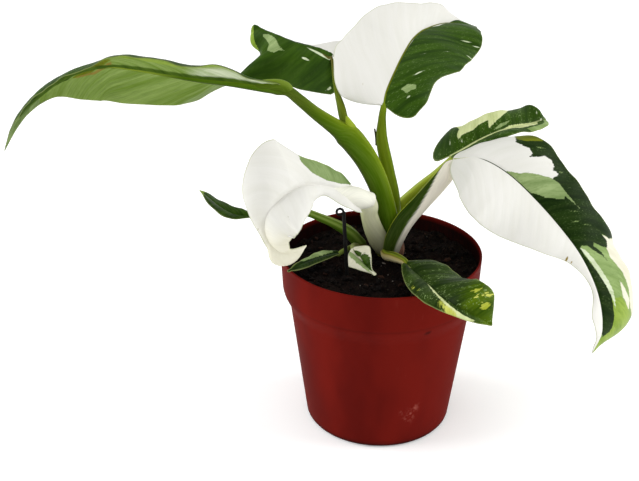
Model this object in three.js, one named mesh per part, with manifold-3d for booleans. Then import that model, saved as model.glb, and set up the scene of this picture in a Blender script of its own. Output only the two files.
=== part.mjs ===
// A potted white princess philodendron: a plastic nursery pot, soil, two shoots and ten leaves.
// Millimetres, +Z up. The origin is the centre of the pot's underside, and the viewer is at -Y.
import * as THREE from 'three';
import { mergeVertices } from 'three/addons/utils/BufferGeometryUtils.js';
import Module from 'manifold-3d';

const wasm = await Module();
wasm.setup();

const GAP = 0.3;

const POT = {
  wall: 1.2,
  footRadius: 42,
  heelRadius: 44.7,
  heelHeight: 3,
  waistRadius: 54.3,
  waistHeight: 76,
  collarRadius: 59,
  collarHeight: 90,
  rimRadius: 60,
  height: 111,
  segments: 48,
  drainHoles: 6,
  drainRadius: 4,
  drainCircle: 31,
};

const SOIL = {
  level: 102.6,
  mound: 1.5,
  lump: 1,
  calm: 15,
  rings: 8,
};

const BLADE = { thickness: 0.8, tipWidth: 1, foldWidth: 6, ribShare: 0.3, lastRow: 0.985, lobeLength: 0.2 };

// The places of a blade's rows of points, as shares of its half-width.
const BROAD = [0.08, 0.3, 0.55, 0.8, 1];
const SLIM = [0.35, 0.7, 1];
const PETIOLE = { sides: 10, channelWidth: 0.22 };

const STEMS = {
  main: { x: 4, y: 15, radius: 7, crownRadius: 8, bottom: 80, shoulder: 104, top: 112 },
  side: { x: -12.5, y: 16.5, radius: 4.2, crownRadius: 4.8, bottom: 86, shoulder: 104, top: 109 },
};

const PIN = {
  x: -20.6,
  y: -19.7,
  bottom: 74,
  top: 145.4,
  lean: 3.3,
  radius: 1.1,
  holeRadius: 1.5,
  eyeRadius: 1.9,
  eyeWire: 0.7,
  eyeOffset: 2.1,
};

const COLOURS = {
  pot: 0x8c2a22,
  soil: 0x1d1410,
  green: 0x2f4f1c,
  stalk: 0x5d7a14,
  pale: 0x8fa765,
  white: 0xe9e8dc,
  husk: 0x6b4236,
  pin: 0x15130f,
};

// Each row of a blade is a place along its midrib: x, y, z, then the half-width and slope of the
// left half and of the right half, as seen by looking along the heading from stalk to tip.
const LEAVES = [
  {
    name: 'leaf_1', columns: BROAD, colour: COLOURS.green, steps: 24, rib: 2.2,
    heading: 180, lobe: [-26, 13], forward: [44, 22],
    camber: 0.1, wave: 0.05, waves: 3.3,
    rows: [
      [-56, 4, 211, 6, 37, 5, -40],
      [-71.5, 3, 213.5, 10, 31, 9, -30],
      [-87, 2, 216, 21, 40, 19, -30],
      [-103.5, 1, 218, 26, 30, 23, -63],
      [-121, 0, 221, 28, 29, 22, -79],
      [-138.5, -2, 224.5, 28, 29, 23, -85],
      [-153.5, -4, 226.5, 24, 11, 23, -81],
      [-169.5, -6, 223.5, 20, 5, 18, -72],
      [-186, -8, 215, 15, 8, 7, -71],
      [-202.5, -9, 199.5, 10, 2, 3, -59],
      [-214.5, -10, 178, 0, -9, 0, -50],
    ],
  },
  {
    name: 'leaf_2', columns: BROAD, colour: COLOURS.green, steps: 20, rib: 1.4,
    heading: 142, lobe: [3, 20], forward: [40, 28],
    camber: 0.08, wave: 0.04, waves: 2.5,
    rows: [
      [-29.5, 60, 211.5, 28, -100, 20, 12],
      [-37.5, 66, 214, 30, -88, 22, -10],
      [-46.5, 73, 216, 30, -68, 22, -30],
      [-55, 80, 217, 37, -52, 20, -40],
      [-63.5, 87, 218.5, 21, -76, 16, -40],
      [-71, 94, 219.5, 13, -70, 10, -40],
      [-78.5, 100, 221.5, 0, -58, 0, -40],
    ],
  },
  {
    name: 'leaf_3', columns: BROAD, colour: COLOURS.white, steps: 20, rib: 1.8,
    heading: 95, lobe: [0, 1], forward: [16, 16],
    camber: 0.08, wave: 0.05, waves: 2.2,
    rows: [
      [0, 12.5, 197.8, 21, -21, 16, -19],
      [2, 20, 204, 33, -2, 24, -10],
      [7.5, 34, 211.5, 39, 4, 25, -6],
      [13.5, 50, 217.5, 34, 16, 35, -16],
      [20.5, 66, 222.5, 28, 28, 36, -20],
      [30, 82, 224, 18, 48, 34, -26],
      [44.5, 98, 223, 13, 57, 26, -27],
      [65, 114, 216.5, 0, 34, 0, -32],
    ],
  },
  {
    name: 'leaf_4', columns: BROAD, colour: COLOURS.green, steps: 14, rib: 1.4,
    heading: 20, lobe: [87, 71], forward: [28, 23],
    camber: 0.1, wave: 0.05, waves: 2.5,
    rows: [
      [44, 42.5, 154.9, 9, -14, 2, 9],
      [51.5, 46, 157.5, 25, 5, 9, 1],
      [62.5, 52, 161.5, 23, 7, 12, 3],
      [75.5, 60, 164, 19, 18, 16, 11],
      [88, 68, 164.5, 18, 20, 15, 7],
      [99, 75, 164, 18, 21, 7, 6],
      [108.5, 81, 165, 0, 57, 0, 5],
    ],
  },
  {
    name: 'leaf_5', columns: BROAD, colour: COLOURS.white, steps: 26, rib: 2,
    heading: -20, lobe: [-15, 43], forward: [10, -5],
    camber: 0.08, wave: 0.03, waves: 3,
    rows: [
      [42.5, 20, 161.8, 10, -1, 3, -41],
      [57.5, 17, 163.5, 24, 4, 33, -25],
      [74, 12, 156, 37, 27, 41, -28],
      [91, 6, 141.5, 32, 31, 35, -37],
      [107, -2, 125, 27, 37, 24, -29],
      [118.5, -10, 110.5, 36, 17, 9, -40],
      [127.5, -18, 92, 36, 20, 4, -35],
      [130.5, -24, 73, 36, 19, 16, -7],
      [125.5, -28, 56, 0, 8, 0, -14],
    ],
  },
  {
    name: 'leaf_6', columns: BROAD, colour: COLOURS.white, steps: 30, rib: 1.8,
    heading: 190, lobe: [-48, -31], forward: [21, -10],
    camber: 0.1, wave: 0.03, waves: 2.5,
    rows: [
      [-17, -5.3, 149.2, 9, -32, 7, 38],
      [-23.5, -10, 154, 11, -31, 10, 46],
      [-33.5, -18, 160.5, 6, -51, 12, 53],
      [-44.5, -27, 165, 13, -35, 16, 58],
      [-52.5, -35, 164.5, 18, -40, 30, 73],
      [-59.5, -42, 161.5, 21, -48, 28, 73],
      [-64.5, -48, 157.5, 21, -49, 17, 56],
      [-66.5, -52, 150, 18, -53, 5, 69],
      [-63, -54, 141, 11, -63, 3, 78],
      [-54.5, -53, 135, 4, -74, 10, 69],
      [-43.5, -50, 139, 0, -74, 0, 67],
    ],
  },
  {
    name: 'leaf_7', columns: SLIM, colour: COLOURS.green, steps: 10, rib: 0.8,
    heading: 185, lobe: [17, 17], forward: [15, -14],
    camber: 0.06, wave: 0.0, waves: 2,
    rows: [
      [-74, -17, 141.5, 2, 2, 2, 10],
      [-80, -18, 142, 4, -2, 6, 12],
      [-87, -19, 144, 8, -1, 9, 8],
      [-94, -21, 149.5, 9, -1, 10, -4],
      [-100, -23, 156, 8, 0, 8, -6],
      [-104, -24, 160.5, 0, 3, 0, 2],
    ],
  },
  {
    name: 'leaf_8', columns: BROAD, colour: COLOURS.green, steps: 14, rib: 1.2,
    heading: -52, lobe: [12, 29], forward: [22, 19],
    camber: 0.08, wave: 0.02, waves: 2,
    rows: [
      [13.5, -13, 109.8, 2, 10, 2, -2],
      [17, -27.5, 112, 16, 11, 7, -3],
      [22.5, -45, 114, 19, 5, 12, -2],
      [29, -62, 115, 21, 20, 13, -2],
      [36.5, -73.5, 114, 19, 32, 8, -5],
      [46, -76.5, 110, 16, 19, 3, -6],
      [56.5, -76, 103, 0, -3, 0, -4],
    ],
  },
  {
    name: 'leaf_9', columns: SLIM, colour: COLOURS.green, steps: 10, rib: 0.8,
    heading: 230, lobe: [-3, 33], forward: [17, 22],
    camber: 0.06, wave: 0.0, waves: 2,
    rows: [
      [-24.5, 3, 108, 1, -26, 3, 15],
      [-32, -6.5, 111.5, 3, -29, 4, 13],
      [-41, -18.5, 114.5, 4, -30, 3, 18],
      [-49, -30, 116, 3, -29, 2, 15],
      [-55, -36.5, 115.5, 0, -23, 0, 11],
    ],
  },
  {
    name: 'leaf_10', columns: SLIM, colour: COLOURS.white, steps: 10, rib: 0.7,
    heading: -60, lobe: [27, 6], forward: [22, 12],
    camber: 0.06, wave: 0.02, waves: 2,
    rows: [
      [-17, 3, 111.5, 1, 38, 1, 12],
      [-14.5, -5, 110.5, 9, 49, 6, 4],
      [-11, -12.5, 109.5, 7, 56, 11, 0],
      [-8, -18.5, 108, 2, 50, 3, 6],
      [-4, -22.5, 106, 0, 52, 0, 2],
    ],
  },
];

// Each row of a stalk: x, y, z, width across the heading, thickness, and depth of its channel.
const STALKS = {
  main: [
    {
      heading: 180,
      rows: [
        [5.5, 16, 107, 12, 14, 0],
        [5.5, 16, 115.5, 12, 15, 1],
        [4.5, 15, 128, 12, 14, 2],
        [2, 14, 139, 12, 13.5, 2],
        [-3, 12, 153.5, 12, 14.5, 2.5],
        [-9.5, 10.5, 166.5, 11.5, 15, 3],
        [-19, 8.5, 179, 10, 15, 2.5],
        [-29, 7.5, 185, 8, 10, 1.2],
        [-39, 6.5, 193.5, 7, 7.6, 0.6],
        [-48, 5, 202.5, 6.4, 6.8, 0.4],
        [-54.5, 4, 209, 6, 6, 0],
      ],
    },
    {
      heading: 142,
      rows: [
        [-17.5, 9.5, 181.5, 5, 5, 0],
        [-21.5, 14, 189.5, 4.2, 4.2, 0],
        [-24.5, 24, 194.5, 3.6, 3.6, 0],
        [-27.5, 42, 202, 3, 3, 0],
        [-29.2, 58.9, 211, 2.6, 2.6, 0],
      ],
    },
    {
      heading: 95,
      rows: [
        [6.5, 20, 108, 8, 8, 0],
        [8, 22.5, 131, 9, 8, 0.5],
        [4, 22, 154, 8, 7, 0.6],
        [0, 20, 173.5, 7, 6.2, 0.5],
        [-0.5, 16, 187.5, 4.8, 4.8, 0.3],
        [-0.1, 12.9, 195.4, 3.8, 3.8, 0],
      ],
    },
    {
      heading: 20,
      rows: [
        [6, 19, 109, 7, 7, 0],
        [10.5, 27, 129.5, 6, 6, 0.5],
        [21.5, 31.5, 141.5, 5.5, 5.5, 0.5],
        [33.5, 36, 147.5, 5, 5, 0.4],
        [43.3, 41.2, 152.2, 4, 4, 0],
      ],
    },
    {
      heading: -20,
      rows: [
        [5, 16, 107.5, 11, 10, 0],
        [9, 16.5, 117.5, 11, 11, 1.5],
        [15.5, 17, 127, 10, 10.5, 2],
        [24.5, 18, 136.5, 9, 10, 2],
        [33, 19, 146, 8, 11, 1.5],
        [38.5, 19.5, 154, 7, 9, 0.8],
        [40.6, 20.8, 158.8, 4.6, 5.2, 0],
      ],
    },
    {
      heading: 190,
      rows: [
        [3, 13, 106.5, 10, 12, 0],
        [0, 11, 112.5, 10, 13.5, 1],
        [-4, 8, 122, 9, 12.5, 1.5],
        [-7, 4, 133, 8, 11, 1.2],
        [-8.5, 1, 140.5, 8, 10.5, 1],
        [-11.5, -1.5, 145, 8, 10, 0.8],
        [-16.5, -5, 148.6, 7.5, 8, 0.4],
      ],
    },
    {
      heading: -52,
      rows: [
        [3.5, 12, 108, 6, 5.5, 0],
        [6.5, 3.5, 108.5, 7, 6, 0.5],
        [10, -4, 109, 7, 6, 0.6],
        [13.1, -11.4, 109.4, 4.6, 4.2, 0],
      ],
    },
  ],
  side: [
    {
      heading: 185,
      rows: [
        [-11.5, 17, 106.5, 7, 8, 0],
        [-18.5, 14, 116.5, 7, 8, 1],
        [-27.5, 9, 124.5, 6, 6, 0.8],
        [-36.5, 4, 131, 5, 5, 0.5],
        [-44.5, 0, 136, 4.5, 4.5, 0.3],
        [-54, -6, 140, 4, 4, 0.2],
        [-64, -12, 140.5, 3.4, 3.4, 0],
        [-72.9, -16.8, 141.4, 3, 3, 0],
      ],
    },
    {
      heading: 230,
      rows: [
        [-13.5, 15.5, 106.5, 4, 4, 0],
        [-19, 10, 107.5, 3.4, 3.4, 0],
        [-23.8, 3.8, 107.9, 2.8, 2.8, 0],
      ],
    },
    {
      heading: -60,
      rows: [
        [-13, 15.5, 106.5, 4, 4, 0],
        [-16, 9, 110, 3.2, 3.2, 0],
        [-17.1, 4.1, 111.4, 2.6, 2.6, 0],
      ],
    },
  ],
};

const HUSK = {
  name: 'husk', columns: SLIM, colour: COLOURS.husk, steps: 8, rib: 0.2,
  heading: -43, lobe: [0, 0], forward: [10, 10], camber: 0.05, wave: 0, waves: 1,
  rows: [
    [13.2, 7.5, 103.4, 2.6, 25, 2.6, 25],
    [13.6, 7.6, 107.5, 3, 28, 3, 28],
    [12.6, 7.8, 112.5, 2.2, 30, 2.2, 30],
    [10.8, 8, 117, 0, 30, 0, 30],
  ],
};

const radians = THREE.MathUtils.degToRad;

// The value and slope of a smooth curve through the rows, at t from 0 to 1.
function along(rows, t) {
  const last = rows.length - 1;
  const x = Math.min(Math.max(t, 0), 1) * last;
  const i = Math.min(Math.floor(x), last - 1);
  const u = x - i;
  const value = [];
  const slope = [];
  rows[i].forEach((p1, k) => {
    const p2 = rows[i + 1][k];
    const p0 = i > 0 ? rows[i - 1][k] : 2 * p1 - p2;
    const p3 = i + 2 <= last ? rows[i + 2][k] : 2 * p2 - p1;
    const m1 = (p2 - p0) / 2;
    const m2 = (p3 - p1) / 2;
    const bend = 2 * (p1 - p2) + m1 + m2;
    const rise = 3 * (p2 - p1) - 2 * m1 - m2;
    value.push(((bend * u + rise) * u + m1) * u + p1);
    slope.push((3 * bend * u + 2 * rise) * u + m1);
  });
  return { value, slope };
}

// The place, direction, side and upper direction of a curve that heads outward at an angle.
function frameAt(shape, t) {
  const { value, slope } = along(shape.rows, t);
  const tangent = new THREE.Vector3(...slope.slice(0, 3)).normalize();
  const heading = radians(shape.heading);
  const side = new THREE.Vector3(Math.sin(heading), -Math.cos(heading), 0);
  side.addScaledVector(tangent, -side.dot(tangent)).normalize();
  const up = new THREE.Vector3().crossVectors(side, tangent);
  return { value, place: new THREE.Vector3(...value.slice(0, 3)), tangent, side, up };
}

// A point of a blade's middle surface: t runs from stalk to tip, v from the left edge to the right.
// The fold along the midrib flattens out where the blade is narrower than the fold width.
function bladePoint(leaf, t, v) {
  const { value, place, tangent, side, up } = frameAt(leaf, t);
  const half = v > 0 ? 1 : 0;
  const hand = v > 0 ? 1 : -1;
  const width = Math.max(value[3 + 2 * half], BLADE.tipWidth);
  const tilt = (hand * (value[6] - value[4])) / 2;
  const fold = Math.min(1, (value[3] + value[5]) / (2 * BLADE.foldWidth));
  const slope = radians(THREE.MathUtils.lerp(tilt, value[4 + 2 * half], Math.max(0, fold)));
  const q = Math.abs(v);
  const base = Math.max(0, 1 - t / BLADE.lobeLength) ** 2;
  const sweep = radians(leaf.forward[half] * (0.3 + 0.7 * t) * (1 - base) - leaf.lobe[half] * base * q * q);
  const across = side.clone().multiplyScalar(hand * Math.cos(slope)).addScaledVector(up, Math.sin(slope));
  const normal = up.clone().multiplyScalar(Math.cos(slope)).addScaledVector(side, -hand * Math.sin(slope));
  const phase = 0.3 * half;
  const ripple = leaf.wave * Math.sin(2 * Math.PI * (leaf.waves * t + phase)) * Math.sin(Math.PI * t);
  const lift = width * (leaf.camber * 4 * q * (1 - q) + ripple * q * q);
  return place
    .addScaledVector(across, width * q * Math.cos(sweep))
    .addScaledVector(tangent, width * q * Math.sin(sweep))
    .addScaledVector(normal, lift);
}

// A closed solid from two like grids of points, one for each face of a sheet.
function sheetGeometry(upper, lower) {
  const rows = upper.length;
  const columns = upper[0].length;
  const points = [...upper.flat(), ...lower.flat()];
  const underside = rows * columns;
  const faces = [];
  const quad = (a, b, c, d) => faces.push(a, b, c, a, c, d);
  for (let i = 0; i < rows - 1; i += 1) {
    for (let j = 0; j < columns - 1; j += 1) {
      const a = i * columns + j;
      const b = a + columns;
      faces.push(a, a + 1, b + 1, a, b + 1, b);
      faces.push(underside + a, underside + b + 1, underside + a + 1);
      faces.push(underside + a, underside + b, underside + b + 1);
    }
  }
  for (let i = 0; i < rows - 1; i += 1) {
    const left = i * columns;
    const right = left + columns - 1;
    quad(left, left + columns, underside + left + columns, underside + left);
    quad(right, underside + right, underside + right + columns, right + columns);
  }
  for (let j = 0; j < columns - 1; j += 1) {
    const end = (rows - 1) * columns + j;
    quad(j, underside + j, underside + j + 1, j + 1);
    quad(end, end + 1, underside + end + 1, underside + end);
  }
  return indexedGeometry(points, faces);
}

function indexedGeometry(points, faces) {
  const geometry = new THREE.BufferGeometry();
  const coordinates = points.flatMap((point) => [point.x, point.y, point.z]);
  geometry.setAttribute('position', new THREE.Float32BufferAttribute(coordinates, 3));
  geometry.setIndex(faces);
  return geometry;
}

// A blade with a raised rib under its midrib.
function bladeGeometry(leaf) {
  const columns = [...leaf.columns.map((q) => -q).reverse(), 0, ...leaf.columns];
  const middle = columns.indexOf(0);
  const grid = [];
  for (let i = 0; i <= leaf.steps; i += 1) {
    const t = (BLADE.lastRow * i) / leaf.steps;
    grid.push(columns.map((v) => bladePoint(leaf, t, v)));
  }
  const upper = [];
  const lower = [];
  grid.forEach((row, i) => {
    const before = grid[Math.max(i - 1, 0)];
    const after = grid[Math.min(i + 1, leaf.steps)];
    const top = [];
    const bottom = [];
    row.forEach((point, j) => {
      const forward = after[j].clone().sub(before[j]);
      const sideways = row[Math.min(j + 1, columns.length - 1)].clone().sub(row[Math.max(j - 1, 0)]);
      const normal = sideways.cross(forward).normalize();
      const deepest = BLADE.ribShare * point.distanceTo(row[0]);
      const rib = j === middle ? Math.min(leaf.rib * (1 - i / leaf.steps), deepest) : 0;
      top.push(point.clone().addScaledVector(normal, BLADE.thickness / 2));
      bottom.push(point.clone().addScaledVector(normal, -BLADE.thickness / 2 - rib));
    });
    upper.push(top);
    lower.push(bottom);
  });
  return sheetGeometry(upper, lower);
}

// A stalk: an oval tube with a channel along its upper side.
function stalkGeometry(stalk) {
  const steps = (stalk.rows.length - 1) * 3;
  const sides = PETIOLE.sides;
  const points = [];
  const faces = [];
  for (let i = 0; i <= steps; i += 1) {
    const { value, place, side, up } = frameAt(stalk, i / steps);
    const [width, thickness, channel] = value.slice(3);
    for (let k = 0; k < sides; k += 1) {
      const angle = (2 * Math.PI * (k + 0.5)) / sides;
      const x = (width / 2) * Math.cos(angle);
      const dip = Math.exp(-((x / (PETIOLE.channelWidth * width)) ** 2));
      const hollow = Math.sin(angle) > 0 ? channel * dip : 0;
      const y = (thickness / 2) * Math.sin(angle) - hollow;
      points.push(place.clone().addScaledVector(side, x).addScaledVector(up, y));
    }
  }
  for (let i = 0; i < steps; i += 1) {
    for (let k = 0; k < sides; k += 1) {
      const a = i * sides + k;
      const b = i * sides + ((k + 1) % sides);
      faces.push(a, b + sides, b, a, a + sides, b + sides);
    }
  }
  const start = points.length;
  points.push(frameAt(stalk, 0).place, frameAt(stalk, 1).place);
  for (let k = 0; k < sides; k += 1) {
    const next = (k + 1) % sides;
    faces.push(start, k, next);
    faces.push(start + 1, steps * sides + next, steps * sides + k);
  }
  return indexedGeometry(points, faces);
}

function toSolid(geometry) {
  const bare = geometry.clone();
  bare.deleteAttribute('normal');
  bare.deleteAttribute('uv');
  const merged = mergeVertices(bare, 1e-4);
  const index = merged.index.array;
  const kept = [];
  for (let i = 0; i < index.length; i += 3) {
    const [a, b, c] = [index[i], index[i + 1], index[i + 2]];
    if (a !== b && b !== c && c !== a) kept.push(a, b, c);
  }
  const vertProperties = new Float32Array(merged.attributes.position.array);
  const triVerts = new Uint32Array(kept);
  return new wasm.Manifold(new wasm.Mesh({ numProp: 3, vertProperties, triVerts }));
}

function fromSolid(solid) {
  const mesh = solid.getMesh();
  const geometry = new THREE.BufferGeometry();
  geometry.setAttribute('position', new THREE.BufferAttribute(new Float32Array(mesh.vertProperties), 3));
  geometry.setIndex(new THREE.BufferAttribute(new Uint32Array(mesh.triVerts), 1));
  return geometry;
}

function lathe(profile, segments) {
  const points = profile.map(([radius, height]) => new THREE.Vector2(radius, height));
  return new THREE.LatheGeometry(points, segments).rotateX(Math.PI / 2);
}

function cylinder(x, y, radius, bottom, top, segments) {
  const geometry = new THREE.CylinderGeometry(radius, radius, top - bottom, segments).rotateX(Math.PI / 2);
  return geometry.translate(x, y, (bottom + top) / 2);
}

// The pot's outer radius at a height: a straight wall, a soft step to the collar, and the collar.
function outerRadius(height) {
  if (height <= POT.waistHeight) {
    const share = (height - POT.heelHeight) / (POT.waistHeight - POT.heelHeight);
    return THREE.MathUtils.lerp(POT.heelRadius, POT.waistRadius, share);
  }
  if (height <= POT.collarHeight) {
    const share = (height - POT.waistHeight) / (POT.collarHeight - POT.waistHeight);
    return THREE.MathUtils.lerp(POT.waistRadius, POT.collarRadius, share * share * (3 - 2 * share));
  }
  const share = (height - POT.collarHeight) / (POT.height - POT.collarHeight);
  return THREE.MathUtils.lerp(POT.collarRadius, POT.rimRadius, share);
}

// The heights at which the wall bends, from the heel to the collar.
function wallHeights() {
  const steps = [0, 0.25, 0.5, 0.75, 1];
  const bends = steps.map((share) => THREE.MathUtils.lerp(POT.waistHeight, POT.collarHeight, share));
  return [POT.heelHeight, ...bends];
}

function potOutline(inset) {
  const foot = [POT.footRadius - inset / 2, inset];
  const heel = [POT.heelRadius - 0.8 - inset, 0.8 + inset / 2];
  return [foot, heel, ...wallHeights().map((height) => [outerRadius(height) - inset, height])];
}

function potGeometry() {
  const outside = potOutline(0);
  const inside = potOutline(POT.wall);
  const rim = [
    [POT.rimRadius, POT.height - 0.4],
    [POT.rimRadius - 0.4, POT.height],
    [POT.rimRadius - POT.wall + 0.3, POT.height],
    [POT.rimRadius - POT.wall, POT.height - 0.4],
  ];
  const profile = [[0, 0], ...outside, ...rim, ...inside.reverse(), [0, POT.wall]];
  let pot = toSolid(lathe(profile, POT.segments));
  for (let i = 0; i < POT.drainHoles; i += 1) {
    const angle = (2 * Math.PI * i) / POT.drainHoles;
    const x = POT.drainCircle * Math.cos(angle);
    const y = POT.drainCircle * Math.sin(angle);
    pot = pot.subtract(toSolid(cylinder(x, y, POT.drainRadius, -1, POT.wall + 1, 12)));
  }
  return fromSolid(pot);
}

// The soil's surface: low lumps that fade out round the main crown.
function soilHeight(x, y) {
  const away = Math.hypot(x, y) / POT.rimRadius;
  const lumps = Math.sin(x * 0.31 + 1) * Math.cos(y * 0.27) + 0.6 * Math.sin(x * 0.13 - y * 0.22);
  const near = Math.hypot(x - STEMS.main.x, y - STEMS.main.y);
  const calm = Math.min(1, Math.max(0, (near - STEMS.main.crownRadius) / SOIL.calm));
  return SOIL.level + calm * (SOIL.mound * (0.5 - away) + SOIL.lump * lumps);
}

// The soil fills the pot, lumpy on top, with a plain hole for each stem and for the pin.
function soilGeometry() {
  const inset = POT.wall + GAP;
  const points = [new THREE.Vector3(0, 0, soilHeight(0, 0))];
  const faces = [];
  const addRing = (radiusAt, heightAt) => {
    for (let k = 0; k < POT.segments; k += 1) {
      const angle = (2 * Math.PI * k) / POT.segments;
      const x = radiusAt * Math.cos(angle);
      const y = radiusAt * Math.sin(angle);
      points.push(new THREE.Vector3(x, y, heightAt(x, y)));
    }
  };
  const edge = outerRadius(SOIL.level - 3) - inset;
  for (let ring = 1; ring <= SOIL.rings; ring += 1) addRing((edge * ring) / SOIL.rings, soilHeight);
  const sides = wallHeights().reverse();
  sides.forEach((height) => addRing(outerRadius(height) - inset, () => height));
  addRing(POT.footRadius - inset, () => inset + GAP);
  const rings = SOIL.rings + sides.length + 1;
  const at = (ring, k) => 1 + (ring - 1) * POT.segments + (k % POT.segments);
  const bottom = points.length;
  points.push(new THREE.Vector3(0, 0, inset + GAP));
  for (let k = 0; k < POT.segments; k += 1) {
    faces.push(0, at(1, k), at(1, k + 1));
    for (let ring = 1; ring < rings; ring += 1) {
      faces.push(at(ring, k), at(ring + 1, k), at(ring + 1, k + 1));
      faces.push(at(ring, k), at(ring + 1, k + 1), at(ring, k + 1));
    }
    faces.push(bottom, at(rings, k + 1), at(rings, k));
  }
  let soil = toSolid(indexedGeometry(points, faces));
  for (const stem of Object.values(STEMS)) {
    const hole = cylinder(stem.x, stem.y, stem.radius + GAP, stem.bottom - GAP, POT.height, 16);
    soil = soil.subtract(toSolid(hole));
  }
  const pinHole = pinRod(PIN.holeRadius, PIN.bottom - GAP, POT.height, 12);
  return fromSolid(soil.subtract(toSolid(pinHole)));
}

// A stem in the soil with its crown, and the stalks that grow from it.
function shootGeometry(stem, stalks) {
  const profile = [
    [0, stem.bottom],
    [stem.radius * 0.7, stem.bottom],
    [stem.radius, stem.bottom + 5],
    [stem.radius, stem.shoulder],
    [stem.crownRadius, stem.shoulder + 3],
    [stem.radius * 0.8, stem.top],
    [0, stem.top + 2],
  ];
  let shoot = toSolid(lathe(profile, 16).translate(stem.x, stem.y, 0));
  for (const stalk of stalks) shoot = shoot.add(toSolid(stalkGeometry(stalk)));
  return fromSolid(shoot);
}

// A rod at the pin's place that leans to the left about the soil's surface.
function pinRod(radius, bottom, top, sides) {
  const rod = new THREE.CylinderGeometry(radius, radius, top - bottom, sides).rotateX(Math.PI / 2);
  rod.translate(0, 0, (top + bottom) / 2 - SOIL.level);
  return rod.rotateY(-radians(PIN.lean)).translate(PIN.x, PIN.y, SOIL.level);
}

// A wire pin: a rod with an eye bent at its top.
function pinGeometry() {
  const eye = new THREE.TorusGeometry(PIN.eyeRadius, PIN.eyeWire, 6, 14).rotateX(Math.PI / 2);
  eye.translate(-PIN.eyeOffset, 0, PIN.top - SOIL.level);
  eye.rotateY(-radians(PIN.lean)).translate(PIN.x, PIN.y, SOIL.level);
  return fromSolid(toSolid(pinRod(PIN.radius, PIN.bottom, PIN.top, 8)).add(toSolid(eye)));
}

function meshOf(name, geometry, colour, roughness) {
  const material = new THREE.MeshStandardMaterial({ color: colour, roughness, metalness: 0 });
  const mesh = new THREE.Mesh(geometry, material);
  mesh.name = name;
  return mesh;
}

const plant = new THREE.Group();
plant.add(meshOf('pot', potGeometry(), COLOURS.pot, 0.6));
plant.add(meshOf('soil', soilGeometry(), COLOURS.soil, 0.95));
plant.add(meshOf('main_shoot', shootGeometry(STEMS.main, STALKS.main), COLOURS.stalk, 0.45));
plant.add(meshOf('side_shoot', shootGeometry(STEMS.side, STALKS.side), COLOURS.stalk, 0.45));
for (const leaf of LEAVES) plant.add(meshOf(leaf.name, bladeGeometry(leaf), leaf.colour, 0.4));
plant.add(meshOf(HUSK.name, bladeGeometry(HUSK), HUSK.colour, 0.8));
plant.add(meshOf('wire_pin', pinGeometry(), COLOURS.pin, 0.5));

export default plant;
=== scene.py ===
"""A potted white princess philodendron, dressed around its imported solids.

Lengths in the tables are millimetres and angles are degrees; meshes are made in metres. The origin is
the centre of the pot's underside, +Z is up and the viewer stands at -Y.
"""

import math

import bmesh
import bpy
import numpy as np
from mathutils import Euler, Matrix, Vector


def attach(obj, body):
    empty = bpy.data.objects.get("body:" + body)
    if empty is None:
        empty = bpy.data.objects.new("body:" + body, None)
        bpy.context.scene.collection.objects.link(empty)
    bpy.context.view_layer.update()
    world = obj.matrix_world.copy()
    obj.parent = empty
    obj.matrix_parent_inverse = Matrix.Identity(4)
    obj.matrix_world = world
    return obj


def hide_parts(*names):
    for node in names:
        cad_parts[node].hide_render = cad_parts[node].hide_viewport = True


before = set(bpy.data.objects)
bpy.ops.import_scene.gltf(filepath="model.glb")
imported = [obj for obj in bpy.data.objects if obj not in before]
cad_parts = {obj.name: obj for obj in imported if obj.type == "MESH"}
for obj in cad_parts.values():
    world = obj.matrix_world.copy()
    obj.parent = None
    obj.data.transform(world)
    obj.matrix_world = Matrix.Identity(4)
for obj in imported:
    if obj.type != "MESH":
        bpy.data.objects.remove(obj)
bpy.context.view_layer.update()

MM = 0.001
SEED = 11

# The photograph's camera: its place, its pitch below the horizon and its focal length.
CAMERA = {"place": (-36.8, -605.2, 408.9), "pitch": 25.70, "lens": 63.61, "sensor": 36.0}

# Radii of the pot at named heights. Its line is a faint groove under the collar, darkened with painted shade.
POT = {
    "wall": 1.2, "foot": 42.0, "heel": 44.7, "heel_height": 3.0, "waist": 54.3, "waist_height": 76.0,
    "collar": 59.0, "collar_height": 90.0, "rim": 60.0, "height": 111.0,
    "line_height": 88.0, "line_depth": 0.16,
}
DRAIN = {"holes": 6, "radius": 4.0, "circle": 31.0, "sides": 32}
# Crumb is a list of depths and cell sizes. The soil's own sides stand a gap inside the pot.
SOIL = {
    "level": 102.6, "mound": 1.5, "lump": 1.0, "calm": 15.0, "gap": 0.3, "floor": 1.8,
    "side_heights": (90.0, 86.5, 83.0, 79.5, 76.0, 3.0), "crumb": ((0.9, 3.1), (0.55, 1.3), (0.3, 0.6)),
}
STEMS = {
    "main": {"x": 4, "y": 15, "radius": 7, "crown": 8, "bottom": 92, "shoulder": 104, "top": 112},
    "side": {"x": -12.5, "y": 16.5, "radius": 4.2, "crown": 4.8, "bottom": 92, "shoulder": 104, "top": 109},
}
SCARS = {"apart": 4.0, "depth": 0.25, "width": 0.5}
PIN = {"x": -20.6, "y": -19.7, "bottom": 96, "top": 145.4, "lean": 3.3, "radius": 1.1}
PIN_EYE = {"radius": 1.9, "wire": 0.7, "offset": 2.1}
SPIKE = {"foot": (-3.2, 20.5, 170.2), "top": (-4.6, 18.0, 181.6), "width": 1.3, "rings": 24, "sides": 12}

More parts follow.
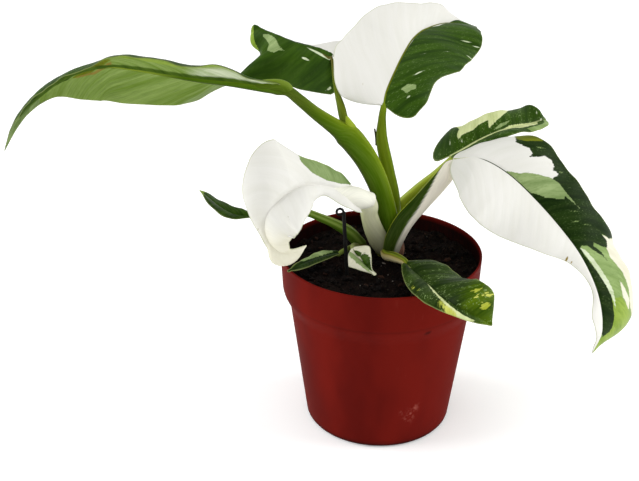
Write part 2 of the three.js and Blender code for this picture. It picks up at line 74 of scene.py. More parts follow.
BLADE = {
    "thickness": 0.7, "edge": 0.28, "edge_band": 2.5, "fold_width": 6.0, "tip_share": 0.03, "tip_width": 0.1,
    "round": 0.06, "start_width": 0.08, "lobe_length": 0.2, "early_sweep": 0.3, "wave_shift": 0.3,
    "step": 0.85, "last": 0.996, "columns": 40, "crowding": 1.35, "edge_columns": (0.975, 0.99),
    "halves_apart": 40.0,
}
VEIN = {
    "lean": 0.45, "arc": 0.35, "per_width": 4.2, "closest": 3.0, "widest": 8.0, "width": 0.55, "depth": 0.13,
    "quilt": 0.22, "stagger": 0.25, "edge_fade": 0.25, "midrib_fade": (0.3, 2.5),
    "tone": (128, 146, 84), "rim_tone": (150, 160, 96),
}
MIDRIB = {
    "groove": 0.5, "groove_width": 1.1, "least_width": 0.8, "width_per_height": 0.8, "edge_fade": (0.5, 3.0),
}
# Depth and length of the edge's small waves.
RUFFLES = ((0.35, 4.1), (0.2, 1.7))
TUBE = {"step": 0.9, "sides": 48, "channel_width": 0.22, "channel_edge": 3}
# The runs under a blade: shares of the midrib's length and of the stalk's size. The long rib is sunk into
# its blade, and its first share is its size where it leaves the stalk.
UNDER_BLADE = {"places": (0.03, 0.07, 0.12), "sizes": (0.8, 0.6, 0.2)}
LONG_RIB = {
    "places": (0.06, 0.12, 0.2, 0.3, 0.4, 0.5, 0.6, 0.68),
    "sizes": (0.95, 0.88, 0.78, 0.66, 0.54, 0.42, 0.3, 0.12), "sunk": 1.4, "first": 0.9,
}
# How strongly a stalk's foot takes its own colour, and between which heights and shares of its length
# its foot, the drift of its bands and its end change over, where its own colours don't say.
FOOT_SHARE = 0.75
TINTS = {
    "foot_bottom": 104, "foot_top": 128, "shift_from": 0.15, "shift_by": 0.85,
    "end_from": 0.82, "end_by": 1.0,
}
EDGE = {"streak": 1.8, "grain": 1.2, "soft": 0.25}
GLOSS = {"upper": (0.3, 0.42), "under": (0.45, 0.6)}
# The noises of a blade's colours: scales, a shift on top of the leaf's own, detail and any roughness.
NOISES = {
    "broad": ((0.16, 0.035, 1.0), 0, 4), "streak": ((0.9, 0.08, 1.0), 7, 4), "grain": ((2.2, 0.9, 1.0), 3, 2),
    "dots": ((1.5, 0.8, 1.0), 11, 1), "speckle": ((0.8, 0.3, 1.0), 13, 5, 0.7),
    "blotch": ((0.7, 0.45, 1.0), 5, 3),
}
# Each lamp: its place, size and power.
LIGHT = {
    "surround": 0.665,
    "floor": 0.19,
    "aim": (0, 0, 0.12),
    "lamps": {
        "front_lamp": ((-0.2, -1.3, 1.3), 1.2, 2.5),
        "left_lamp": ((-1.5, 0.0, 0.9), 1.2, 19.5),
        "right_lamp": ((1.5, 0.0, 0.9), 1.2, 19.5),
    },
}

# Each row of a blade: a place along its midrib, then the half-width and slope of its left half and
# of its right half, as seen by looking along the heading from stalk to tip. Each row of a stalk:
# x, y, z, width across the heading, thickness, and depth of its channel.
LEAVES = {
    "leaf_1": {
        "slot": "green_leaf", "shoot": "main", "heading": 180, "lobe": (-26, 13), "lean": 1.6,
        "forward": (44, 22), "camber": 0.1, "wave": 0.05, "waves": 3.3, "rib": 2.2,
        "rows": [(-56, 4, 211, 6, 37, 5, -40), (-71.5, 3, 213.5, 10, 31, 9, -30),
            (-87, 2, 216, 21, 40, 19, -30), (-103.5, 1, 218, 26, 30, 23, -63),
            (-121, 0, 221, 28, 29, 22, -79), (-138.5, -2, 224.5, 28, 29, 23, -85),
            (-153.5, -4, 226.5, 24, 11, 23, -81), (-169.5, -6, 223.5, 20, 5, 18, -72),
            (-186, -8, 215, 15, 8, 7, -71), (-202.5, -9, 199.5, 10, 2, 3, -59),
            (-214.5, -10, 178, 0, -9, 0, -50)],
        "stalk": [(5.5, 16, 107, 12, 14, 0), (5.5, 16, 115.5, 12, 15, 1), (4.5, 15, 128, 12, 14, 2),
            (2, 14, 139, 12, 13.5, 2), (-3, 12, 153.5, 12, 14.5, 2.5), (-9.5, 10.5, 166.5, 11.5, 15, 2),
            (-17, 8.8, 177.5, 10.5, 15.5, 1.5), (-21.5, 8.4, 181.8, 10, 14.8, 1),
            (-26.8, 8, 185.8, 8, 10.6, 0.8), (-38.6, 6.5, 195, 7, 7.8, 0.6), (-47.6, 5, 203.2, 6.4, 6.8, 0.4),
            (-54.5, 4, 209, 6, 6, 0)],
    },
    "leaf_2": {
        "slot": "green_leaf", "shoot": "main", "heading": 142, "lobe": (20, 20), "relief": 0.4, "round": 0.02,
        "forward": (40, 28), "camber": 0.08, "wave": 0.04, "waves": 2.5, "rib": 1.4,
        "rows": [(-29.5, 60, 211.5, 24, -100, 20, 24), (-37.5, 66, 214, 30, -88, 22, 0),
            (-46.5, 73, 216, 30, -68, 22, -30), (-55, 80, 217, 41, -45, 20, -40),
            (-63.5, 87, 218.5, 20, -76, 16, -40), (-71, 94, 219.5, 13, -70, 10, -40),
            (-78.5, 100, 221.5, 0, -58, 0, -40)],
        "stalk": [(-20, 10.5, 180.5, 5, 5, 0), (-22.6, 14, 188.5, 5.2, 5.2, 0),
            (-24.5, 22, 194.5, 4.6, 4.8, 0), (-27.8, 42, 201.5, 2, 2.2, 0), (-29.2, 58.9, 211, 1.6, 1.8, 0)],
    },
    "leaf_3": {
        "slot": "variegated_leaf", "shoot": "main", "heading": 95, "lobe": (0, 26), "relief": 0.22,
        "lean": 1.1, "forward": (16, 16), "camber": 0.08, "wave": 0.05, "waves": 2.2, "rib": 1.8,
        "rows": [(0, 12.5, 197.8, 21, -21, 18, -19), (2, 20, 204, 33, -2, 24, -10),
            (7.5, 34, 211.5, 39, 4, 25, -6), (13.5, 50, 217.5, 34, 16, 35, -16),
            (20.5, 66, 222.5, 28, 28, 36, -20), (30, 82, 224, 18, 48, 34, -26),
            (44.5, 98, 223, 13, 57, 26, -27), (65, 114, 216.5, 0, 34, 0, -32)],
        "stalk": [(6.5, 20, 108, 8, 8, 0), (8, 22.5, 131, 9, 8, 0.5), (4, 22, 154, 8, 7, 0.6),
            (0, 20, 173.5, 7, 6.2, 0.5), (-0.5, 16, 187.5, 4.8, 4.8, 0.3), (-0.1, 12.9, 195.4, 3.8, 3.8, 0)],
    },
    "leaf_4": {
        "slot": "variegated_leaf", "shoot": "main", "heading": 20, "lobe": (87, 71), "relief": 0.5,
        "round": 0.02, "forward": (28, 23), "camber": 0.1, "wave": 0.05, "waves": 2.5, "rib": 1.4,
        "rows": [(44, 42.5, 154.9, 9, -14, 2, 9), (51.5, 46, 157.5, 25, 5, 9, 1),
            (62.5, 52, 161.5, 23, 7, 12, 3), (75.5, 60, 164, 19, 18, 16, 11), (88, 68, 164.5, 18, 20, 15, 7),
            (99, 75, 164, 18.5, 21, 11, 6), (108.5, 81, 165, 0, 57, 0, 5)],
        "stalk": [(6, 19, 109, 7, 7, 0), (11, 27, 126, 6, 6, 0.5), (22, 31, 137, 5.5, 5.5, 0.5),
            (33.5, 35.5, 145, 5, 5, 0.4), (43.3, 41.2, 152.2, 4, 4, 0)],
    },
    "leaf_5": {
        "slot": "variegated_leaf", "shoot": "main", "heading": -20, "lobe": (-15, 43), "round": 0.03,
        "relief": 0.4, "forward": (10, -5), "camber": 0.08, "wave": 0.03, "waves": 3, "rib": 2, "run_on": 0.2,
        "rows": [(42.5, 20, 161.8, 10, -1, 3, -41), (57.5, 17, 163.5, 24, 4, 33, -25),
            (74, 12, 156, 37, 27, 41, -28), (91, 6, 141.5, 32, 31, 35, -37), (107, -2, 125, 27, 37, 24, -29),
            (118.5, -10, 110.5, 36, 17, 9, -40), (127.5, -18, 92, 36, 20, 4, -35),
            (130.5, -24, 73, 36, 19, 16, -7), (125.5, -28, 56, 0, 8, 0, -14)],
        "stalk": [(6.3, 9, 105.5, 11, 10, 0), (8.4, 7, 116.5, 13, 12, 1), (14.1, 8.5, 127.8, 12, 12.5, 1.5),
            (23.7, 13.5, 137.2, 10, 12, 2), (33, 18.5, 146, 8.5, 12, 1.5), (38.5, 19.5, 153, 8, 11, 0.8),
            (40.6, 20.8, 158.8, 4.6, 5.2, 0)],
    },
    "leaf_6": {
        "slot": "white_leaf", "shoot": "main", "heading": 190, "lobe": (38, -31), "round": 0.01,
        "relief": 0.3, "forward": (21, -10), "camber": 0.1, "wave": 0.03, "waves": 2.5, "rib": 1.8,
        "rows": [(-17, -5.3, 149.2, 12, -30, 7, 38), (-23.5, -10, 154, 11, -31, 10, 46),
            (-33.5, -18, 160.5, 6, -51, 12, 53), (-44.5, -27, 165, 13, -35, 16, 58),
            (-52.5, -35, 164.5, 18, -40, 30, 73), (-59.5, -42, 161.5, 21, -48, 28, 73),
            (-64.5, -48, 157.5, 21, -49, 17, 56), (-66.5, -52, 150, 18, -53, 5, 69),
            (-63, -54, 141, 11, -63, 3, 78), (-54.5, -53, 135, 4, -74, 10, 69),
            (-43.5, -50, 139, 0, -74, 0, 67)],
        "stalk": [(3, 13, 106.5, 10, 12, 0), (0, 11, 112.5, 10, 13.5, 1), (-4, 8, 122, 9, 12.5, 1.5),
            (-7, 4, 133, 8, 11, 1.2), (-7.6, 1, 140, 8.5, 11.5, 0.8), (-9.4, -1.2, 145.2, 7, 10, 0.4),
            (-14, -4, 147.6, 6, 8, 0)],
    },
    "leaf_7": {
        "slot": "green_leaf", "shoot": "side", "heading": 185, "lobe": (17, 17), "forward": (15, -14),
        "camber": 0.06, "wave": 0, "waves": 2, "rib": 0.8, "columns": 24,
        "rows": [(-74, -17, 141.5, 2, 2, 2, 10), (-80, -18, 142, 4, -2, 6, 12), (-87, -19, 144, 8, -1, 9, 8),
            (-94, -21, 149.5, 9, -1, 10, -4), (-100, -23, 156, 8, 0, 8, -6), (-104, -24, 160.5, 0, 3, 0, 2)],
        "stalk": [(-11.5, 17, 106.5, 7, 8, 0), (-18.5, 14, 116.5, 7, 8, 1), (-27.5, 9, 124.5, 6, 6, 0.8),
            (-36.5, 4, 131, 5, 5, 0.5), (-44.5, 0, 136, 4.5, 4.5, 0.3), (-54, -6, 140, 4, 4, 0.2),
            (-64, -12, 140.5, 3.4, 3.4, 0), (-72.9, -16.8, 141.4, 3, 3, 0)],
    },
    "leaf_8": {
        "slot": "green_leaf", "shoot": "main", "heading": -52, "lobe": (12, 29), "relief": 0.35,
        "forward": (22, 19), "camber": 0.08, "wave": 0.02, "waves": 2, "rib": 1.2,
        "rows": [(13.5, -13, 109.8, 2, 10, 2, -2), (17, -27.5, 112, 16, 11, 7, -3),
            (22.5, -45, 114, 19, 5, 12, -2), (29, -62, 115, 21, 20, 13, -2),
            (36.5, -73.5, 114, 20, 32, 8, -5), (46, -76.5, 110, 17, 19, 4.5, -6),
            (56.5, -76, 103, 0, -3, 0, -4)],
        "stalk": [(3, 9, 106, 6, 5.5, 0), (4.0, 1.5, 107.0, 7, 6, 0.5), (7.8, -3.5, 108.3, 7, 6, 0.8),
            (13.1, -11.4, 109.4, 4.6, 4.2, 0)],
    },
    "leaf_9": {
        "slot": "green_leaf", "shoot": "side", "heading": 230, "lobe": (-3, 33), "forward": (17, 22),
        "camber": 0.06, "wave": 0, "waves": 2, "rib": 0.8, "columns": 24,
        "rows": [(-24.5, 3, 108, 1, -26, 3, 15), (-32, -6.5, 111.5, 3, -29, 4, 13),
            (-41, -18.5, 114.5, 4, -30, 3, 18), (-49, -30, 116, 3, -29, 2, 15),
            (-55, -36.5, 115.5, 0, -23, 0, 11)],
        "stalk": [(-13.5, 15.5, 106.5, 4, 4, 0), (-19, 10, 107.5, 3.4, 3.4, 0),
            (-23.8, 3.8, 107.9, 2.8, 2.8, 0)],
    },
    "leaf_10": {
        "slot": "variegated_leaf", "shoot": "side", "heading": -60, "lobe": (27, 6), "forward": (22, 12),
        "camber": 0.06, "wave": 0.02, "waves": 2, "rib": 0.7, "columns": 24,
        "rows": [(-17, 3, 111.5, 1, 38, 1, 12), (-14.5, -5, 110.5, 9, 49, 6, 4),
            (-11, -12.5, 109.5, 7, 56, 11, 0), (-8, -18.5, 108, 2, 50, 3, 6), (-4, -22.5, 106, 0, 52, 0, 2)],
        "stalk": [(-13, 15.5, 106.5, 4, 4, 0), (-16, 9, 110, 3.2, 3.2, 0), (-17.1, 4.1, 111.4, 2.6, 2.6, 0)],
    },
}
HUSK = {
    "slot": "dry_husk", "heading": -43, "lobe": (0, 0), "forward": (10, 10), "camber": 0.05, "wave": 0,
    "waves": 1, "rib": 0.2, "columns": 24,
    "rows": [(13.2, 7.5, 103.4, 2.6, 25, 2.6, 25), (13.6, 7.6, 107.5, 3, 28, 3, 28),
        (12.6, 7.8, 112.5, 2.2, 30, 2.2, 30), (10.8, 8, 117, 0, 30, 0, 30)],
}

# Each tone's darker and lighter screen colours, 0 to 255.
TONES = {
    "white": ((215, 214, 206), (220, 219, 213)), "ivory": ((208, 205, 182), (222, 219, 200)),
    "green": ((30, 54, 6), (56, 84, 18)), "deep": ((12, 30, 2), (32, 52, 12)),
    "moss": ((20, 38, 6), (50, 70, 20)), "leafy": ((40, 64, 2), (84, 108, 10)),
    "sage": ((108, 130, 76), (152, 170, 116)), "sage_shade": ((92, 114, 62), (134, 154, 100)),
    "pale": ((108, 134, 68), (148, 170, 108)), "mist": ((176, 190, 148), (212, 220, 192)),
    "cream": ((182, 192, 130), (216, 222, 170)), "lime": ((110, 138, 38), (146, 168, 72)),
    "olive": ((78, 88, 6), (116, 124, 18)), "yellow": ((148, 158, 36), (204, 206, 104)),
    "under": ((100, 128, 40), (142, 164, 90)), "under_dark": ((50, 74, 12), (78, 104, 28)),
    "brown": ((116, 98, 34), (154, 134, 64)),
}

# The colours of each blade. A zone is a colour and an outline in blade coordinates, in percent: the first
# runs from the stalk, 0, to the tip, 100, and the second from the left edge, -100, to the right, 100.
# Later zones lie over earlier ones. Two numbers after an outline say how far its edge strays and how soft
# it is. A fleck or spot is a place with a length along the side veins and a width, in millimetres. A
# midrib has a colour, a half-width and the share of its length where it begins.
LOOKS = {
    "leaf_1": {
        "base": "green", "under": "under", "rib": "under_dark",
        "under_zones": [
            # Painted sheen: a pale grey-green patch by the stalk on the right half.
            ("sage", [(-10, 20), (10, 55), (30, 85), (36, 120), (-10, 120)], 3.0, 4.0),
            ("lime", [(-10, -120), (-10, -30), (30, -30), (50, -40), (55, -120)]),
            # Painted light: a pale, sheen-like patch by the stalk across the midrib, lifting the shaded
            # underside.
            ("mist", [(-10, -60), (-10, 20), (20, 20), (32, 0), (30, -40), (20, -60)], 2.0, 6.0),
            ("olive", [(53, -120), (55, -45), (60, -12), (66, 20), (73, 20), (66, -10), (62, -120)]),
            ("green", [(58, -120), (60, -50), (68, -5), (74, 18), (86, 10), (90, -10), (92, -120)]),
            ("sage_shade", [(84, 120), (84, 10), (90, -10), (92, -120), (110, -120), (110, 120)]),
            ("brown", [(56, -30), (60, -10), (64.5, 17), (71, 20), (71, 25), (64, 25), (58.5, 0)], 0.3, 0.5),
        ],
    },
    "leaf_2": {
        "base": "green", "under": "pale",
        "zones": [
            ("white", [(-10, 14), (30, 13), (46, 20), (52, 60), (42, 120), (-10, 120)]),
            ("sage", [(81, -22), (75, -10), (62, -12), (42, -23), (46, -26), (47, -33), (52, -36), (70, -36),
                (78, -31)]),
            ("lime", [(70, -120), (74, -90), (82, -72), (93, -60), (110, -50), (110, -120)]),
            ("mist", [(-5, -7), (10, -6), (24, -4), (30, -2), (20, -1), (-5, -1)], 0.1, 0.2),
        ],
        "flecks": ("mist", [(23, -25, 0.7, 2.8), (3, -80, 3, 0.9)]),
    },
    "leaf_3": {
        "base": "green", "under": "pale", "midrib": ("olive", 0.5, 0.0), "specks": 0.55,
        "zones": [
            ("white", [(-10, -120), (-10, 0), (20, 0), (42, 0.5), (54, 2), (67, -3), (73.5, 0), (78, 7),
                (86, 0), (92, -40), (110, -50), (110, -120)], 0.15, 0.3),
            ("sage", [(17, 30), (21, 41), (22, 61), (20, 64), (18, 53), (15, 47), (16, 38)]),
        ],
        "under_zones": [
            ("white", [(-10, -120), (-10, 6), (80, 10), (90, -5), (110, -5), (110, -120)]),
        ],
        "flecks": ("mist", [(30, 53, 2.2, 0.8), (77.5, 70, 2.0, 1.1), (69, 94.5, 2.0, 1.3),
            (80, 92, 1.4, 0.9), (14, 54, 1.0, 0.9), (45, 30, 1.2, 0.4), (55, 62, 1.2, 0.4)]),
        "spots": [(12, -90, 0.7, 0.4), (13, -45, 0.9, 0.4), (16, -46, 0.6, 0.3), (34, -59, 0.6, 0.3)],
    },
    "leaf_4": {
        "base": "green", "under": "pale", "midrib": ("cream", 0.9, 0.0), "specks": 1.0,
        "zones": [
            ("cream", [(25, -120), (67, -120), (65, -90), (58, -64), (52, -47), (48, -35), (43, -22),
                (46, -58), (40, -54), (32, -41), (28, -42), (23, -39), (18, -31), (20, -47), (25, -70)]),
            ("sage", [(46, -12), (53, -27), (62, -32), (56, -16)]),
            ("cream", [(45, 3), (60, -11), (79, -5), (87, 15), (76, 60), (59, 62), (50, 40)]),
            ("pale", [(60, 75), (86, 70), (95, 30), (110, 40), (100, 120), (60, 120)]),
        ],
        "flecks": ("mist", [(90, -50, 1.2, 0.6), (93, -10, 1.0, 0.7), (12, -50, 2, 0.4),
            (20, -20, 1.4, 0.4)]),
    },
    "leaf_5": {
        "base": "white", "under": "ivory", "midrib": ("deep", 0.35, 0.11), "specks": 0.25,
        "zones": [
            ("pale", [(55, 0), (55, -120), (110, -120), (110, 0)]),
            ("lime", [(78, -24), (78, -50), (82, -66), (84, -82), (88, -95), (110, -120), (110, 0), (93, -5),
                (88, -20)]),
            ("mist", [(57, -2), (62, -7), (67, -12), (72, -17), (78, -26), (82, -30), (76, -33), (70, -25),
                (64, -18), (60, -12)]),
            ("ivory", [(57.5, -66), (60, -85), (60, -120), (86, -120), (85, -92), (82, -76), (76, -80),
                (70, -70), (66, -58)]),
            ("ivory", [(73, -56), (78, -55), (83, -70), (80, -76), (76, -68)]),
            ("deep", [(19, -120), (20, -89), (21, -68), (24, -60), (25, -62), (27, -56), (27, -46), (29, -60),
                (30, -70), (32, -77), (34, -74), (34, -61), (35, -69), (36.5, -72), (36, -59), (36, -40),
                (32, 0), (90, 0), (92, -12), (89, -27), (82, -25), (77, -25), (71, -16), (67, -11), (62, -6),
                (58.5, -6), (58, -11), (59, -21), (61, -26), (64, -39), (67.5, -48), (63, -42), (60, -32),
                (59, -36), (61, -49), (62.5, -64), (60.5, -72), (57.5, -66), (60, -82), (61, -120)]),
            ("sage", [(24, -1), (28, -11), (30, -24), (33, -38), (35, -49), (38, -58), (41, -57), (45, -60),
                (49, -66), (44, -55), (42, -50), (42.5, -44), (41.5, -34), (39, -17), (37, -9), (35, -3),
                (33, 0)]),
            ("olive", [(19, -120), (20, -89), (21, -78), (23.5, -76), (25, -82), (27, -95), (27, -120)]),
        ],
        "under_zones": [
            ("pale", [(20, -120), (24, -70), (36, -60), (30, -2), (90, -2), (95, -120)]),
        ],
        "flecks": ("pale", [(28, -78, 2, 0.7), (37, -80, 1.6, 0.6), (47, -45, 1.8, 0.4), (50, -36, 2, 0.5),
            (53, -50, 1.8, 0.4)]),
        "spots": [(61.2, 98, 1.6, 0.9), (63, 97, 1.0, 0.6), (18, -16, 0.9, 0.3)],
    },
    "leaf_6": {
        "base": "white", "under": "white",
        "zones": [
            # A creamier tone towards the tip, which also paints shade on the hanging lower end.
            ("ivory", [(62, -120), (74, -40), (70, 30), (78, 120), (110, 120), (110, -120)], 0.5, 12.0),
            ("sage_shade", [(31, 120), (31, 95), (31.5, 75), (27.5, 44), (20, 24), (12, 32), (5, 55), (2, 80),
                (3, 120)]),
        ],
        "under_zones": [
            ("sage_shade", [(31, 120), (31, 75), (20, 24), (5, 55), (2, 80), (3, 120)]),
        ],
        "spots": [(72, 98, 0.9, 0.4), (53, -54, 1.2, 0.3)],
    },
    "leaf_7": {
        "base": "green", "under": "pale",
        "zones": [
            ("lime", [(86, -120), (90, -30), (87, 40), (84, 120), (110, 120), (110, -120)]),
        ],
    },
    "leaf_8": {
        "base": "moss", "under": "pale", "specks": 1.3, "fleck_wander": 6.5,
        "zones": [
            ("leafy", [(50, -120), (62, -40), (78, 10), (85, 120), (110, 120), (110, -120)], 5.0, 5.0),
            ("cream", [(36, 3), (46, 11), (52, 17), (59, 25), (67, 45), (74, 63), (84, 70), (82, 98),
                (72, 120), (68, 120), (65, 82), (61, 52), (56, 36), (46, 20)], 1.3, 0.5),
            ("yellow", [(58, 42), (66, 62), (70, 90), (70, 120), (66, 120), (63, 90), (58, 60)], 3.5, 1.2),
        ],
        "flecks": ("yellow", [(68, -70, 2.1, 2.0), (85, -50, 2.6, 2.4), (81, -78, 1.8, 1.8),
            (74, -52, 1.0, 1.0), (38, 81, 0.8, 0.8), (42, 69, 0.6, 0.6)]),
    },
    "leaf_9": {
        "base": "deep", "under": "green",
        "zones": [
            ("sage", [(10, 120), (12, 25), (40, 10), (62, 30), (66, 120)]),
        ],
        "under_zones": [
            ("sage", [(10, 120), (12, 25), (40, 10), (62, 30), (66, 120)]),
        ],
    },
    "leaf_10": {
        "base": "ivory", "under": "ivory",
        "zones": [
            ("sage", [(10, 100), (25, 30), (48, 0), (74, 5), (90, 50), (80, 70), (60, 45), (40, 50),
                (25, 90)]),
            ("green", [(33, -10), (38, -55), (56, -86), (88, -70), (80, 0), (55, 10)], 2.0, 0.4),
            ("green", [(6, 10), (20, 8), (40, -14), (32, -36), (14, -20)]),
        ],
    },
}

# The colours of each stalk: screen colours round it, by angle from its right-hand side as it is seen
# along its heading, 90 being its upper side, then its foot and the end under the blade. A third number
# in a band is how far it has drifted round at the top.
STALK_LOOKS = {
    "leaf_1": {
        # The bands are painted light and shade: the stalk is lightest round its upper side and darkest round
        # its lower side.
        "bands": [(0, (90, 110, 20)), (60, (122, 140, 18)), (110, (112, 132, 10)), (150, (84, 112, 4)),
            (190, (66, 98, 2)), (225, (52, 76, 2)), (255, (34, 48, 4)), (300, (40, 56, 6))],
        "foot": (62, 84, 8), "end": (64, 84, 6), "end_from": 0.55, "end_by": 0.75,
    },
    "leaf_2": {
        "bands": [(0, (66, 80, 10)), (90, (94, 108, 16)), (180, (76, 92, 10)), (270, (54, 66, 6))],
        "foot": (84, 102, 14), "end": (84, 78, 34), "end_from": 0.4, "end_by": 0.6,
    },
    "leaf_3": {
        "bands": [(0, (66, 84, 6)), (40, (96, 118, 10)), (90, (104, 124, 12)), (150, (90, 108, 8)),
            (180, (66, 82, 6)), (270, (70, 90, 10))],
        "foot": (64, 80, 12), "end": (112, 134, 30),
    },
    "leaf_4": {
        "bands": [(0, (128, 144, 22)), (60, (156, 170, 56)), (90, (168, 182, 90)), (180, (100, 120, 20)),
            (270, (90, 110, 16))],
        "foot": (60, 80, 14), "end": (150, 166, 84),
    },
    "leaf_5": {
        "bands": [(50, (30, 54, 2), 4), (58, (184, 198, 54)), (70, (190, 204, 70)), (80, (96, 116, 10)),
            (100, (84, 106, 8)), (135, (116, 134, 20)), (160, (150, 160, 70)), (190, (212, 210, 184)),
            (230, (236, 230, 214)), (300, (240, 232, 218)), (322, (240, 234, 220), 82),
            (330, (50, 76, 8), 80), (345, (30, 54, 2), 70)],
        "shift_by": 0.6, "foot": (34, 50, 4), "end": (228, 224, 210), "end_from": 0.84, "end_by": 0.88,
    },
    "leaf_6": {
        "bands": [(0, (196, 200, 154)), (80, (136, 148, 86)), (100, (100, 120, 46)), (116, (208, 210, 170)),
            (180, (222, 222, 188)), (240, (210, 212, 168)), (280, (188, 194, 146))],
        # The foot is tan-brown and made darker towards the soil with painted shade.
        "foot": (42, 34, 10), "foot_top": 140, "end": (236, 235, 222), "end_from": 0.35, "end_by": 0.75,
    },
    "leaf_7": {
        "bands": [(0, (70, 100, 20)), (90, (148, 170, 68)), (130, (84, 114, 22)), (165, (146, 172, 80)),
            (185, (84, 116, 24)), (230, (62, 90, 14)), (270, (48, 70, 10))],
        "foot": (50, 72, 16), "end": (120, 140, 70),
    },
    "leaf_8": {
        "bands": [(0, (206, 194, 148)), (30, (176, 160, 96)), (44, (96, 88, 26)), (58, (128, 140, 36)),
            (84, (88, 104, 14)), (100, (60, 70, 10)), (116, (140, 150, 50)), (180, (122, 130, 58)),
            (250, (104, 88, 44)), (310, (200, 186, 142))],
        "foot": (88, 78, 42), "foot_top": 107, "end": (160, 172, 100),
    },
    "leaf_9": {
        "bands": [(0, (120, 136, 64)), (90, (150, 165, 84)), (180, (112, 130, 54)), (270, (90, 108, 40))],
        "foot": (90, 104, 40), "end": (120, 140, 70),
    },
    "leaf_10": {
        "bands": [(0, (150, 156, 100)), (90, (168, 176, 118)), (180, (146, 152, 96)), (270, (120, 128, 76))],
        "foot": (96, 104, 50), "end": (190, 196, 150),
    },
}
HEEL_TONE = STALK_LOOKS["leaf_6"]["end"]
# Painted light and shade: the knuckle is lighter on its upper side and darker underneath.
KNUCKLE_LOOKS = {
    "bands": [(0, (66, 90, 8)), (60, (118, 138, 56)), (110, (104, 126, 36)), (160, (74, 98, 8)),
        (270, (48, 70, 4))],
    "foot": (66, 90, 8), "end": (70, 92, 16),
}
# Short swellings on the stalks, with rows like a stalk's, and their colours.
SWELLINGS = {
    "leaf_6_heel": {
        "heading": 190,
        "rows": [(-4.2, -2, 145.2, 3, 4, 0), (-5.6, -2.1, 145.3, 8, 7.6, 0), (-9.8, -3, 145.6, 12, 10.4, 0),
            (-16.3, -6, 147.8, 14, 13.4, 0), (-23.3, -9.5, 151, 11, 11, 0), (-30.8, -14.5, 156, 3, 4, 0)],
        "looks": {"bands": [(0, HEEL_TONE)], "foot": HEEL_TONE, "end": HEEL_TONE},
    },
    "leaf_1_lip": {
        "heading": 180,
        "rows": [(-12.5, 8.8, 172.5, 7, 8, 0), (-16.3, 8.7, 179.5, 7, 8, 0), (-19, 8.6, 186, 6, 6, 0),
            (-21.2, 8.6, 192.3, 2.4, 1.4, 0)],
        # The lip takes leaf_1's stalk bands, with their painted light and shade.
        "looks": {**STALK_LOOKS["leaf_1"], "end": (142, 160, 40)},
    },
    "leaf_1_knuckle": {
        "heading": 180,
        "rows": [(-53, 4.2, 208, 4.6, 4.8, 0), (-55.4, 4, 210.6, 6.6, 7, 0), (-59.4, 3.8, 212, 7.4, 7.8, 0),
            (-65, 3.4, 212.8, 6.6, 6.6, 0), (-72.4, 3, 212.8, 5.4, 5, 0), (-79.6, 2.8, 213.8, 2, 2, 0)],
        "looks": KNUCKLE_LOOKS,
    },
}

POT_TONES = ((84, 13, 8), (102, 20, 13))
# The tone of the painted shade inside the pot, at its foot and in its groove, and of its one real dot.
POT_SHADE_AND_DOT_TONE = (15, 6, 5)
SCUFF_TONE = (170, 90, 78)
CHALK_TONE = (170, 96, 84)
# Marks on the pot: bearing, height, half-width and half-height.
POT_MARKS = {
    "dot": [(-64.6, 84.4, 1.5, 1.4)],
    "chalk": [
        (-68.8, 23.6, 2.4, 4.0), (-65.4, 28.2, 1.8, 3.0), (-75.4, 27.1, 1.2, 1.6), (-73.2, 20.5, 1.2, 1.4),
    ],
}
SOIL_TONES = ((3, 2, 2), (25, 16, 12))
BARK_TONES = ((16, 9, 6), (58, 36, 26))
GRIT_TONES = ((60, 54, 48), (120, 112, 104))
# Bias makes most bits small. The middle of a bit lies above the soil by its lift, and more if it is large.
BIT = {"bias": 1.8, "lumpiness": 0.28, "tilt": 0.5, "lift": 0.35, "lift_per_size": 0.15}
# The loose bits: how many, their smallest and largest size, squash, tones and how far out they lie.
BITS = {
    "soil_crumbs": (620, (0.6, 2.4), (0.6, 1.0), SOIL_TONES, 56.0),
    "bark_chips": (60, (1.4, 3.4), (0.22, 0.5), BARK_TONES, 55.0),
    "grit_bits": (16, (0.5, 1.3), (0.5, 0.9), GRIT_TONES, 54.0),
}
CROWN_TONES = ((58, 60, 16), (104, 104, 44))
PIN_TONES = ((8, 8, 8), (26, 25, 24))
HUSK_TONES = ((52, 34, 26), (150, 104, 80))
SPIKE_TONES = ((26, 28, 8), (56, 58, 22))
STALK_SHADE = (30, 44, 6)
STALK_GLINT = (196, 204, 120)
SPECK_TONE = (140, 164, 104)
MOTTLE_TONE = (84, 112, 52)
FLOOR_TONE = (250, 250, 250)


def screen(colour):
    """A screen colour, 0 to 255, as linear light."""
    share = np.asarray(colour, float) / 255
    return np.where(share <= 0.04045, share / 12.92, ((share + 0.055) / 1.055) ** 2.4)


def unit(vectors):
    """The vectors at length one."""
    return vectors / np.linalg.norm(vectors, axis=-1, keepdims=True)


def smooth(low, high, values):
    """0 below low, 1 above high and a soft step between."""
    share = np.clip((values - low) / (high - low), 0, 1)
    return share * share * (3 - 2 * share)


def bell(values, width):
    """1 at zero, falling off to either side over the width."""
    return np.exp(-((values / width) ** 2))


def along(rows, t):
    """The value and slope of a smooth curve through the rows, at each t from 0 to 1."""
    rows = np.asarray(rows, float)
    last = len(rows) - 1
    padded = np.vstack([2 * rows[0] - rows[1], rows, 2 * rows[-1] - rows[-2]])
    x = np.clip(t, 0, 1) * last
    i = np.minimum(x.astype(int), last - 1)
    u = (x - i)[:, None]
    p0, p1, p2, p3 = (padded[i + k] for k in range(4))
    m1 = (p2 - p0) / 2
    m2 = (p3 - p1) / 2
    bend = 2 * (p1 - p2) + m1 + m2
    rise = 3 * (p2 - p1) - 2 * m1 - m2
    return ((bend * u + rise) * u + m1) * u + p1, (3 * bend * u + 2 * rise) * u + m1


